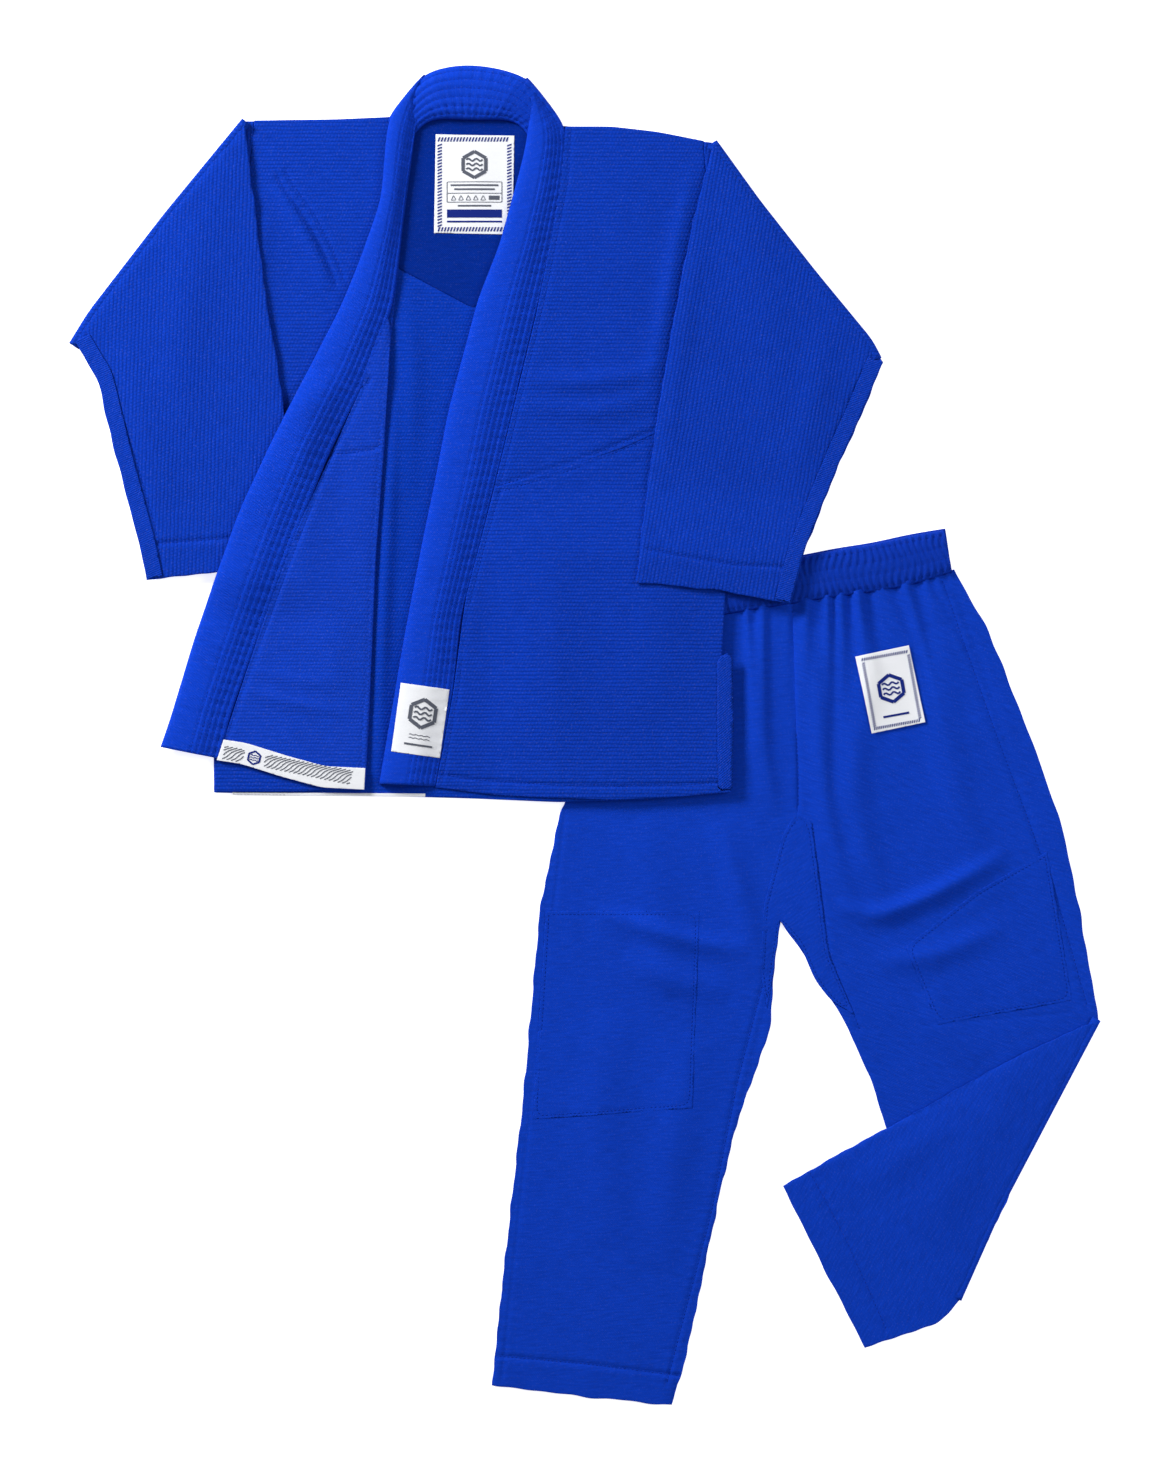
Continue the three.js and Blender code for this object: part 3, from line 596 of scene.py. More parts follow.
class Level:
    """The height of the top of some model nodes, as a soft surface over the plan."""

    CELL = 0.004

    def __init__(self, *nodes: str, blur: int = 2) -> None:
        """Samples the nodes from above.

        Args:
            nodes: Names of the model nodes.
            blur: How often the surface is softened.
        """
        verts, faces = [], []
        for node in nodes:
            mesh = merged(node)
            start = len(verts)
            verts += [v.co.copy() for v in mesh.verts]
            faces += [[start + v.index for v in f.verts] for f in mesh.faces]
            mesh.free()
        tree = BVHTree.FromPolygons(verts, faces)
        xy = np.array([v[:2] for v in verts])
        self.low = xy.min(0) - 4 * self.CELL
        self.count = np.ceil((xy.max(0) + 4 * self.CELL - self.low) / self.CELL).astype(int) + 1
        z = np.full(self.count, np.nan)
        for i in range(self.count[0]):
            for j in range(self.count[1]):
                x, y = self.low + self.CELL * np.array([i, j])
                hit = tree.ray_cast(Vector((x, y, 0.5)), Vector((0, 0, -1)))
                if hit[0] is not None:
                    z[i, j] = hit[0].z
        while np.isnan(z).any():
            padded = np.pad(z, 1, constant_values=np.nan)
            around = np.stack([padded[:-2, 1:-1], padded[2:, 1:-1], padded[1:-1, :-2], padded[1:-1, 2:]])
            known = (~np.isnan(around)).sum(0)
            mean = np.nansum(around, 0) / np.maximum(known, 1)
            fill = np.isnan(z) & (known > 0)
            z[fill] = mean[fill]
        for _ in range(blur):
            p = np.pad(z, 1, mode="edge")
            z = (p[:-2, 1:-1] + p[2:, 1:-1] + p[1:-1, :-2] + p[1:-1, 2:] + 2 * z) / 6.0
        self.z = z

    def __call__(self, points: np.ndarray) -> np.ndarray:
        """The height at each point.

        Args:
            points: Points in plan.

        Returns:
            Heights in metres.
        """
        at = (points - self.low) / self.CELL
        at = np.clip(at, 0, np.array(self.count) - 1.001)
        i, t = at.astype(int), at - at.astype(int)
        z = self.z
        a = z[i[:, 0], i[:, 1]] * (1 - t[:, 0]) + z[i[:, 0] + 1, i[:, 1]] * t[:, 0]
        b = z[i[:, 0], i[:, 1] + 1] * (1 - t[:, 0]) + z[i[:, 0] + 1, i[:, 1] + 1] * t[:, 0]
        return a * (1 - t[:, 1]) + b * t[:, 1]


@dataclass
class Fold:
    """A soft fold of the cloth.

    Attributes:
        line: Its crest.
        height: How high it stands, in metres; negative for a hollow.
        width: Its half width.
        sharp: How much steeper its left side is than its right, 0 to 1.
    """

    line: np.ndarray
    height: float
    width: float
    sharp: float = 0.0

    def __post_init__(self) -> None:
        """Rounds the crest's bends."""
        self.line = smooth_line(self.line, 0.006)

    def lift(self, points: np.ndarray) -> np.ndarray:
        """How much the fold raises the cloth at each point."""
        gap, run, side = nearest(points, self.line)
        length = length_of(self.line)
        width = self.width * np.where(side > 0, 1.0 - 0.6 * self.sharp, 1.0)
        taper = np.sin(np.pi * np.clip(run / length, 0.0, 1.0)) ** 0.7
        return self.height * np.exp(-((gap / width) ** 2)) * taper

    def detail(self) -> np.ndarray:
        """Extra mesh points along the fold."""
        return np.zeros((0, 2))


@dataclass
class Gathers:
    """Cloth drawn together along a line, with ridges that run off square to it.

    Attributes:
        line: The line it is gathered on.
        pitch: Distance between two ridges.
        reach: How far the ridges run.
        height: Their height at the line.
    """

    line: np.ndarray
    pitch: float
    reach: float
    height: float

    def lift(self, points: np.ndarray) -> np.ndarray:
        """How much the ridges raise the cloth at each point."""
        gap, run, _ = nearest(points, self.line)
        length = length_of(self.line)
        phase = 2 * np.pi * run / self.pitch + 1.6 * np.sin(run / (0.9 * self.pitch) + 6.0 * gap)
        phase += 2.4 * np.sin(run / (2.9 * self.pitch) + 0.8) + 55.0 * gap * np.sin(run / (2.1 * self.pitch))
        wave = 0.5 + 0.5 * np.cos(phase)
        strong = 0.55 + 0.45 * np.sin(phase / 2.7 + 1.0) * np.sin(phase / 4.3 + 0.4)
        reach = self.reach * (0.35 + 0.95 * strong)
        ends = np.clip(np.minimum(run, length - run) / 0.008, 0.0, 1.0)
        fade = strong * np.exp(-((gap / reach) ** 1.3)) * ends
        return self.height * wave * fade

    def detail(self) -> np.ndarray:
        """Extra mesh points along the gathered line."""
        return np.zeros((0, 2))


@dataclass
class Stitching:
    """A row of sewing that draws the cloth in.

    Attributes:
        line: Where it runs.
        depth: How deep the thread pulls the cloth.
        pucker: Height of the small puckers beside it.
    """

    line: np.ndarray
    depth: float = 0.0007
    pucker: float = 0.0003

    def __post_init__(self) -> None:
        """Rounds the row's bends."""
        self.line = smooth_line(self.line, 0.004, 3)

    def lift(self, points: np.ndarray) -> np.ndarray:
        """How much the row changes the cloth's height at each point."""
        gap, run, _ = nearest(points, self.line)
        groove = -self.depth * np.exp(-((gap / 0.0016) ** 2))
        wave = 0.5 + 0.5 * np.cos(2 * np.pi * run / 0.008 + 2.0 * np.sin(run / 0.013))
        return groove + self.pucker * wave * np.exp(-gap / 0.006) * (1 - np.exp(-((gap / 0.002) ** 2)))

    def detail(self) -> np.ndarray:
        """Extra mesh points along the row."""
        points = spaced(self.line, 0.0026)
        run = np.gradient(points, axis=0)
        run /= np.linalg.norm(run, axis=1)[:, None] + 1e-12
        across = np.column_stack([-run[:, 1], run[:, 0]])
        return np.vstack([points + k * across for k in (-0.0034, -0.0013, 0.0, 0.0013, 0.0034)])


def ripple(points: np.ndarray, seed: float, height: float) -> np.ndarray:
    """The slight unevenness of cloth laid by hand.

    Args:
        points: Points in plan.
        seed: Shifts the pattern, so that no two pieces match.
        height: Greatest height, in metres.

    Returns:
        Heights from minus to plus half of it.
    """
    x, y = points[:, 0] * 1000, points[:, 1] * 1000
    a = np.sin(x / 17 + y / 41 + seed) * np.sin(y / 23 - x / 55 + 2 * seed)
    b = np.sin(x / 9 - y / 14 + 3 * seed) * np.sin(y / 11 + x / 31 + seed)
    return height * 0.5 * (0.65 * a + 0.35 * b)


def filled(points: np.ndarray, count: int) -> tuple[np.ndarray, list[tuple[int, ...]]]:
    """A closed outline filled with triangles.

    Args:
        points: The outline's points, then the points inside it.
        count: How many of them are the outline's.

    Returns:
        The points in use, and the faces over them.
    """
    rim = [(i, (i + 1) % count) for i in range(count)]
    out = delaunay_2d_cdt([Vector(p) for p in points], rim, [], 1, 1e-7)
    used = sorted({i for f in out[2] for i in f})
    number = {old: new for new, old in enumerate(used)}
    return np.array([out[0][i][:] for i in used]), [tuple(number[i] for i in f) for f in out[2]]


def new_object(name: str, verts: np.ndarray, faces: list, finish: Finish, uv: np.ndarray) -> bpy.types.Object:
    """A smooth-shaded mesh object with its cloth coordinates and finish.

    Args:
        name: Name of the piece.
        verts: Its points, in metres.
        faces: Its faces.
        finish: Its finish.
        uv: One pair of cloth coordinates per point, in metres.

    Returns:
        The object, in the scene.
    """
    mesh = bpy.data.meshes.new(name)
    mesh.from_pydata([tuple(v) for v in verts], [], faces)
    mesh.validate()
    layer = mesh.uv_layers.new(name="cloth")
    corner = np.empty(len(mesh.loops), np.int64)
    mesh.loops.foreach_get("vertex_index", corner)
    layer.data.foreach_set("uv", uv[corner].astype(np.float32).ravel())
    mesh.polygons.foreach_set("use_smooth", [True] * len(mesh.polygons))
    mesh.materials.append(finish.material())
    made = bpy.data.objects.new(name, mesh)
    bpy.context.scene.collection.objects.link(made)
    return made


@dataclass
class Hold:
    """What a piece rides on.

    Attributes:
        body: The body it follows, where no second body is named.
        other: A second body, if any; where one is named the piece is left unattached and nothing bends.
        start: Where the bend starts; not used.
        end: Where the bend ends; not used.
    """

    body: str
    other: str = ""
    start: tuple[float, float, float] = (0.0, 0.0, 0.0)
    end: tuple[float, float, float] = (0.0, 0.0, 0.0)

    def fix(self, piece: bpy.types.Object) -> None:
        """Fastens a piece to its body, or, where a second body is named, only bakes its place into its mesh.

        Args:
            piece: The finished piece.
        """
        if self.other:
            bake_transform(piece)
        else:
            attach(piece, self.body)


@dataclass
class Piece:
    """What every cloth piece has.

    Attributes:
        name: Name of the piece.
        hold: What it rides on.
        finish: Its finish.
        nodes: The model nodes it stands for.
        rests_on: What it lies on; not used.
    """

    name: str
    hold: Hold
    finish: Finish
    nodes: tuple[str, ...] = ()
    rests_on: tuple[str, ...] = ()
    made: bpy.types.Object = None

    def dress(self, flat: tuple[float, float], area: float) -> None:
        """Args:
            flat: Size of the cloth it was cut from.
            area: Area of the cut.
        """
        self.hold.fix(self.made)
        if self.nodes:
            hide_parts(*self.nodes)
        width, length = (max(side, SHEET_LEAST_SIDE) for side in flat)
        area = min(max(area, SHEET_LEAST_FILL * width * length), width * length)
        LOG.info("%s: %d faces, cut %.0f x %.0f mm", self.name, len(self.made.data.polygons), width * 1e3,
                 length * 1e3)


@dataclass
class Panel(Piece):
    """One cut of cloth lying flat.

    Attributes:
        loop: Its outline.
        level: Height of its top before folds.
        thickness: Thickness of the cloth.
        features: Folds, gathers and stitching on it.
        rolls: Lines over which it rolls to the layer below: (line, drop, reach).
        grain: Turn of the weave, in degrees.
        wave: Height of its slight unevenness.
        pitch: Distance between mesh points.
        raise_by: Extra height of the whole piece.
        uneven: How far its edge wanders.
        kept: A seam along which the edge doesn't wander.
    """

    loop: Loop = None
    level: Level = None
    thickness: float = JACKET_CLOTH
    features: tuple = ()
    rolls: tuple = ()
    grain: float = 0.0
    wave: float = 0.0005
    pitch: float = MESH_PITCH
    raise_by: float = 0.0
    uneven: float = 0.0
    kept: np.ndarray = None

    @classmethod
    def over(cls, name: str, hold: Hold, finish: Finish, nodes: tuple[str, ...], rests_on: tuple[str, ...],
             grow: float = 0.0, extra: tuple = (), **rest: object) -> "Panel":
        """A panel with the outline and the height of the model nodes it stands for.

        Args:
            name: Name of the piece.
            hold: What it rides on.
            finish: Its finish.
            nodes: The model nodes.
            rests_on: What it lies on.
            grow: How far the nodes' outline is pushed out.
            extra: More outlines that belong to it.
            rest: The panel's other fields.

        Returns:
            The panel, not built yet.
        """
        loop = Loop.around(*nodes, grow=grow, extra=extra)
        return cls(name, hold, finish, nodes, rests_on, loop=loop, level=Level(*nodes), **rest)

    def top(self, points: np.ndarray) -> np.ndarray:
        """Height of the cloth's upper side.

        Args:
            points: Points in plan.

        Returns:
            Heights in metres.
        """
        z = self.level(points) + self.raise_by + ripple(points, len(self.name) + 0.37 * ord(self.name[0]),
                                                        self.wave)
        for feature in self.features:
            z = z + feature.lift(points)
        for line, drop, reach in self.rolls:
            gap, _, _ = nearest(points, line)
            part = np.clip(1.0 - gap / reach, 0.0, 1.0)
            z = z - drop * (1.0 - np.sqrt(1.0 - part**2))
        return z

    def outline(self) -> Loop:
        """The evened outline, with its edge wandering as asked."""
        loop = self.loop.evened(self.pitch)
        if not self.uneven:
            return loop
        ring = loop.points
        place, slant = ring.sum(1) * 1000, (ring[:, 0] - ring[:, 1]) * 1000
        wander = np.sin(place / 5.1) * np.sin(place / 13.7 + 1.0) + 0.5 * np.sin(slant / 7.3)
        if self.kept is not None:
            wander = wander * np.clip(nearest(ring, self.kept)[0] / 0.015 - 0.4, 0.0, 1.0)
        share = wander * self.uneven / 0.0015
        return Loop(np.array([a + (b - a) * w for a, b, w in zip(ring, grown(ring, 0.001), share)]))

    def mesh_points(self, loop: Loop) -> np.ndarray:
        """Where the mesh has its points.

        Args:
            loop: The evened outline.

        Returns:
            The outline's points, the rings inside its edge, the sewing and an even field, in that order.
        """
        ring, t = loop.points, self.thickness
        low, high = ring.min(0), ring.max(0)
        xs, ys = np.arange(low[0], high[0], self.pitch), np.arange(low[1], high[1], self.pitch * 0.87)
        gx, gy = np.meshgrid(xs, ys)
        gx = gx + (np.arange(len(ys)) % 2)[:, None] * self.pitch / 2
        inner = np.column_stack([gx.ravel(), gy.ravel()])
        clear = 2.2 * t if t > 0.0007 else 1.5 * t
        inner = inner[loop.holds(inner)]
        inner = inner[nearest(inner, ring, True)[0] > clear]
        sewn = np.vstack([np.zeros((0, 2))] + [f.detail() for f in self.features])
        if len(sewn):
            sewn = sewn[loop.holds(sewn)]
            sewn = sewn[nearest(sewn, ring, True)[0] > clear]
            cells = {tuple(c) for c in np.floor(sewn / (0.8 * self.pitch)).astype(int)}
            keep = [tuple(c) not in cells for c in np.floor(inner / (0.8 * self.pitch)).astype(int)]
            inner = inner[np.array(keep, bool)]
        points = [ring]
        for depth in (step * t for step in EDGE_STEPS):
            inset = grown(ring, -depth)
            inset = inset[loop.holds(inset)]
            points.append(inset[nearest(inset, ring, True)[0] > 0.85 * depth])
        return np.vstack(points + [sewn, inner])

    def build(self) -> "Panel":
        """Makes the mesh and dresses it.

        Returns:
            The panel itself.
        """
        loop = self.outline()
        ring, t = loop.points, self.thickness
        xy, faces = filled(self.mesh_points(loop), len(ring))
        rim = np.zeros(len(xy), bool)
        once = {(a, b) for f in faces for a, b in zip(f, f[1:] + f[:1])}
        for a, b in once:
            if (b, a) not in once:
                rim[a] = rim[b] = True
        gap = np.minimum(nearest(xy, ring, True)[0] / t, 1.0)
        gap[rim] = 0.0
        half = 0.5 * t * np.sqrt(np.maximum(0.0, 1.0 - (1.0 - gap) ** 2))
        middle = self.top(xy) - 0.5 * t
        n = len(xy)
        below = np.arange(n) + n
        below[rim] = np.arange(n)[rim]
        keep = np.concatenate([np.ones(n, bool), ~rim])
        lower = (np.cumsum(keep) - 1)[below]
        verts = np.vstack([np.column_stack([xy, middle + half]), np.column_stack([xy, middle - half])])[keep]
        verts[:, 2] = np.maximum(verts[:, 2], 0.0)
        shell = faces + [tuple(int(lower[i]) for i in reversed(f)) for f in faces]
        a = math.radians(self.grain)
        turn = np.array([[math.cos(a), math.sin(a)], [-math.sin(a), math.cos(a)]])
        self.made = new_object(self.name, verts, shell, self.finish, verts[:, :2] @ turn.T)
        self.dress(*self.loop.flat())
        return self


@dataclass
class Band(Piece):
    """A strip of cloth sewn between two edges, such as a lapel.

    Attributes:
        left: One edge.
        right: The other edge.
        level: Height of what it is measured from.
        base: Height of its underside over that.
        height: Its greatest thickness.
        rows: Where stitch rows run, as shares of its width.
        columns: Mesh columns across.
        squareness: How full its edges are; 2 is round.
        puckers: Height of the ripples between the rows.
        groove: How deep the rows are drawn in.
        pucker_pitch: Distance between two ripples.
        straying: How far a ripple wanders from row to row, in radians.
        pitch: Distance between mesh points along it.
        heights: Share of the run and factor on the thickness there, in order.
        soft_edge: Edge that is pressed flat, 0 left or 1 right; below 0 for none.
        soft_share: How much of the thickness the pressed edge keeps.
        top_grid: Plan points, heights and shares across of the finished top.
    """

    left: np.ndarray = None
    right: np.ndarray = None
    level: Level = None
    base: float = 0.0
    height: float = 0.006
    rows: tuple[float, ...] = ()
    columns: int = 44
    squareness: float = 3.0
    puckers: float = 0.0003
    groove: float = 0.0008
    pucker_pitch: float = 0.0095
    straying: float = 0.0
    pitch: float = 0.0026
    heights: tuple[tuple[float, float], ...] = ()
    soft_edge: float = -1.0
    soft_share: float = 0.35
    top_grid: tuple = ()

    def grid(self) -> tuple[np.ndarray, np.ndarray, np.ndarray]:
        """Plan points, run along the band, and share across it, as grids."""
        pitch = self.pitch
        left, right = smooth_line(self.left, 0.004, 10), smooth_line(self.right, 0.004, 10)
        length = length_of(left)
        count = int(length / pitch)
        left = spaced(left, length / count)[: count + 1]
        right = spaced(right, length_of(right) / count)[: count + 1]
        u = np.linspace(0, 1, self.columns + 1)
        u = 0.5 - 0.5 * np.cos(np.pi * u) if self.columns < 20 else u + 0.03 * np.sin(-2 * np.pi * u)
        plan = left[:, None, :] * (1 - u)[None, :, None] + right[:, None, :] * u[None, :, None]
        v = np.linspace(0, length, len(left))
        return plan, v, u

    def lift(self, plan: np.ndarray, v: np.ndarray, u: np.ndarray) -> np.ndarray:
        """Thickness of the band at each grid point."""
        width = np.linalg.norm(plan[:, -1] - plan[:, 0], axis=1)[:, None]
        shape = (1 - np.abs(2 * u - 1) ** self.squareness)[None, :]
        shape = np.maximum(shape, 0.0) ** (1 / self.squareness)
        z = self.height * shape * np.ones((len(v), 1))
        if self.heights:
            shares, factors = zip(*self.heights)
            z *= np.interp(v / v[-1], shares, factors)[:, None]
        if self.soft_edge >= 0:
            t = np.clip(np.abs(u - self.soft_edge) / 0.5, 0.0, 1.0)
            z *= (self.soft_share + (1.0 - self.soft_share) * t * t * (3 - 2 * t))[None, :]
        near = np.zeros_like(z)
        for k, row in enumerate(self.rows):
            gap = np.abs(u[None, :] - row) * width
            dash = 0.75 + 0.25 * np.cos(2 * np.pi * v / STITCH_PITCH + k)[:, None]
            z -= self.groove * np.exp(-((gap / 0.0011) ** 2)) * dash
            near = np.maximum(near, np.exp(-gap / 0.006))
        across, along = np.meshgrid(u, v)
        wander = 1.5 * np.sin(along / 0.021) + self.straying * np.sin(7.0 * across + along / 0.017)
        wave = np.sin(2 * np.pi * along / self.pucker_pitch + wander)
        z += self.puckers * wave * near * (0.6 + 0.4 * np.cos(7 * u)[None, :]) * shape
        z += ripple(plan.reshape(-1, 2), len(self.name), 0.0006).reshape(z.shape) * shape
        return z

    def build(self) -> "Band":
        """Makes the mesh and its stitches, and dresses it.

        Returns:
            The band itself.
        """
        plan, v, u = self.grid()
        rows, cols = plan.shape[0], plan.shape[1]
        floor = self.level(plan.reshape(-1, 2)).reshape(rows, cols) + self.base
        thick = self.lift(plan, v, u)
        top = np.concatenate([plan, (floor + thick)[..., None]], 2)
        under = np.concatenate([plan, (floor + 0.12 * np.maximum(thick, 0))[..., None]], 2)
        verts = np.vstack([top.reshape(-1, 3), under.reshape(-1, 3)])
        index = np.arange(rows * cols).reshape(rows, cols)
        lower = index + rows * cols
        lower[:, 0], lower[:, -1] = index[:, 0], index[:, -1]
        faces = []
        for i in range(rows - 1):
            for j in range(cols - 1):
                faces.append((index[i, j], index[i, j + 1], index[i + 1, j + 1], index[i + 1, j]))
                faces.append((lower[i, j], lower[i + 1, j], lower[i + 1, j + 1], lower[i, j + 1]))
        for end in (0, rows - 1):
            for j in range(cols - 1):
                quad = [index[end, j], lower[end, j], lower[end, j + 1], index[end, j + 1]]
                quad = list(dict.fromkeys(int(q) for q in quad))
                faces.append(tuple(quad if end == 0 else reversed(quad)))
        width = float(np.mean(np.linalg.norm(plan[:, -1] - plan[:, 0], axis=1)))
        uv = np.stack(np.broadcast_arrays(u[None, :] * width, v[:, None]), -1).reshape(-1, 2)
        uv = np.vstack([uv, uv])
        used = np.zeros(len(verts), bool)
        for f in faces:
            used[list(f)] = True
        number = np.cumsum(used) - 1
        faces = [tuple(int(number[i]) for i in f) for f in faces]
        a, b, c = (verts[used][faces[0][k]] for k in range(3))
        if np.cross(b - a, c - a)[2] < 0:
            faces = [tuple(reversed(f)) for f in faces]
        self.made = new_object(self.name, verts[used], faces, self.finish, uv[used])
        self.top_grid = (plan, floor + thick, u)
        self.dress((width, float(v[-1])), width * float(v[-1]))
        return self

    def surface(self, points: np.ndarray) -> np.ndarray:
        """Height of the band's top, softened, for what is sewn on it.

        Args:
            points: Points in plan.

        Returns:
            Heights in metres.
        """
        mesh = self.made.data
        tree = BVHTree.FromPolygons([v.co for v in mesh.vertices], [list(f.vertices) for f in mesh.polygons])
        total, known = np.zeros(len(points)), np.zeros(len(points))
        for dx, dy in ((0, 0), (0.003, 0), (-0.003, 0), (0, 0.003), (0, -0.003)):
            for i, (x, y) in enumerate(points):
                hit = tree.ray_cast(Vector((x + dx, y + dy, 0.5)), Vector((0, 0, -1)))
                if hit[0] is not None:
                    total[i] += hit[0].z
                    known[i] += 1
        return total / np.maximum(known, 1)

    def threads(self) -> list[np.ndarray]:
        """The stitch rows as lines over the band's top."""
        plan, z, u = self.top_grid
        lines = []
        for row in self.rows:
            j = min(int(np.searchsorted(u, row)), len(u) - 1)
            t = 0.0 if j == 0 else (row - u[j - 1]) / (u[j] - u[j - 1])
            xyz = np.concatenate([plan, z[..., None]], 2)
            lines.append(xyz[:, j - 1] * (1 - t) + xyz[:, j] * t)
        return lines


@dataclass
class Threads:
    """The sewing thread of one part of the garment, as separate small stitches.

    Attributes:
        name: Name of the piece.
        hold: What it rides on.
        finish: The thread's finish.
        lines: The rows, as points in space.
    """

    name: str
    hold: Hold
    finish: Finish = THREAD
    lines: list = field(default_factory=list)

    def add_panel(self, panel: Panel, rows: list[Stitching]) -> None:
        """Adds the rows sewn on a panel.

        Args:
            panel: The panel.
            rows: Its stitching.
        """
        for row in rows:
            plan = spaced(row.line, 0.0017)
            inside = panel.loop.holds(plan)
            for part in np.split(plan, np.flatnonzero(np.diff(inside.astype(int))) + 1):
                if len(part) > 3 and panel.loop.holds(part[1:2])[0]:
                    self.lines.append(np.column_stack([part, panel.top(part) + 0.00012]))

    def build(self) -> bpy.types.Object:
        """Makes all the stitches as one mesh.

        Returns:
            The object.
        """
        verts, faces, uv = [], [], []
        for line in self.lines:
            points = spaced(line, STITCH_PITCH / 2)
            for i in range(0, len(points) - 2, 2):
                a, b = points[i], points[i + 1]
                along = b - a
                length = np.linalg.norm(along)
                if length < 1e-6:
                    continue
                along /= length
                a, b = a - STITCH_OVERLAP * along, b + STITCH_OVERLAP * along
                across = np.cross(along, (0, 0, 1.0))
                across /= np.linalg.norm(across) + 1e-12
                up = np.cross(across, along)
                start = len(verts)
                verts.append(a - 0.0001 * up)
                for t in (0.22, 0.78):
                    middle = a + (b - a) * t
                    for x, y in ((0.00032, 0), (0, 0.00030), (-0.00032, 0), (0, -0.00025)):
                        verts.append(middle + across * x + up * y)
                verts.append(b - 0.0001 * up)
                for k in range(4):
                    n = (k + 1) % 4
                    faces.append((start, start + 1 + n, start + 1 + k))
                    faces.append((start + 1 + k, start + 1 + n, start + 5 + n, start + 5 + k))
                    faces.append((start + 9, start + 5 + k, start + 5 + n))
                uv += [(p[0], p[1]) for p in verts[start:]]
        made = new_object(self.name, np.array(verts), faces, self.finish, np.array(uv))
        self.hold.fix(made)
        LOG.info("%s: %d stitches", self.name, len(faces) // 12)
        return made


@dataclass
class Print:
    """A woven or printed pattern on a label or tape.

    Attributes:
        name: Name of the piece.
        hold: What it rides on.
        finish: The ink.
        surface: The panel it is on.
        origin: The corner its own x and y start from.
        degrees: The turn of its own x.
    """

    name: str
    hold: Hold
    finish: Finish
    surface: Panel
    origin: tuple[float, float]
    degrees: float
    quads: list = field(default_factory=list)

    def line(self, points: list[tuple[float, float]], width: float, closed: bool = False) -> None:
        """Adds a drawn line.

        Args:
            points: Its points on the label, in metres.
            width: Its width.
            closed: Whether it runs back to its start.
        """
        path = spaced(np.array(points + ([points[0]] if closed else []), float), 0.0015)
        step = np.gradient(path, axis=0)
        if closed:
            step[0] = step[-1] = path[1] - path[-2]
        step /= np.linalg.norm(step, axis=1)[:, None] + 1e-12
        side = np.column_stack([-step[:, 1], step[:, 0]]) * width / 2
        for i in range(len(path) - 1):
            self.quads.append((path[i] - side[i], path[i + 1] - side[i + 1], path[i + 1] + side[i + 1],
                               path[i] + side[i]))

    def bar(self, x: float, y: float, width: float, height: float, slant: float = 0.0) -> None:
        """Adds a filled bar with its lower left corner at x, y, leaning by slant."""
        parts = max(1, int(math.ceil(width / 0.002)))
        step = width / parts
        for k in range(parts):
            a, b = x + k * step, x + (k + 1) * step
            corners = ((a, y), (b, y), (b + slant, y + height), (a + slant, y + height))
            self.quads.append(tuple(np.array(c) for c in corners))

    def hatched_border(self, width: float, height: float, inset: float, band: float, pitch: float) -> None:
        """Adds a border of slanting dashes.

        Args:
            width: Width of the label.
            height: Height of the label.
            inset: Distance from the label's edge.
            band: Width of the border.
            pitch: Distance between two dashes.
        """
        x = inset
        while x < width - inset - pitch:
            self.bar(x, inset, pitch * 0.45, band, pitch * 0.5)
            self.bar(x, height - inset - band, pitch * 0.45, band, pitch * 0.5)
            x += pitch
        y = inset + band
        while y < height - inset - band - pitch:
            for left in (inset, width - inset - band):
                a, b = (left, y), (left + band, y + pitch * 0.5)
                self.quads.append(tuple(np.array(c) for c in (a, b, (b[0], b[1] + pitch * 0.45),
                                                              (a[0], a[1] + pitch * 0.45))))
            y += pitch

    def build(self) -> bpy.types.Object:
        """Lays the pattern on its panel.

        Returns:
            The object.
        """
        a = math.radians(self.degrees)
        axes = np.array([[math.cos(a), math.sin(a)], [-math.sin(a), math.cos(a)]])
        flat = np.array(self.quads).reshape(-1, 2) @ axes + np.array(self.origin)
        z = self.surface.top(flat)
        count = len(flat)
        verts = np.vstack([np.column_stack([flat, z + PRINT_RISE]), np.column_stack([flat, z - PRINT_SINK])])
        faces = []
        for i in range(0, count, 4):
            up, down = list(range(i, i + 4)), list(range(i + count, i + 4 + count))
            faces.append(tuple(up))
            faces.append(tuple(reversed(down)))
            for k in range(4):
                n = (k + 1) % 4
                faces.append((up[n], up[k], down[k], down[n]))
        made = new_object(self.name, verts, faces, self.finish, verts[:, :2])
        for polygon in made.data.polygons:
            polygon.use_smooth = False
        self.hold.fix(made)
        return made


JACKET, TROUSERS = Hold("jacket"), Hold("trousers")
LEFT_FRONT, RIGHT_FRONT = Hold("left_front"), Hold("right_front")
RIGHT_SLEEVE, LOWER_LEG = Hold("right_sleeve"), Hold("right_lower_leg")
RIGHT_TURN = Hold("jacket", "right_front", (0.006, 0.25, 0.003), (-0.022, 0.2519, 0.003))
LEFT_TURN = Hold("jacket", "left_front", (-0.16, 0.365, 0.006), (-0.17, 0.255, 0.006))
RIGHT_LAPEL_TURN = Hold("jacket", "right_front", (-0.04, 0.455, 0.006), (-0.05, 0.335, 0.006))


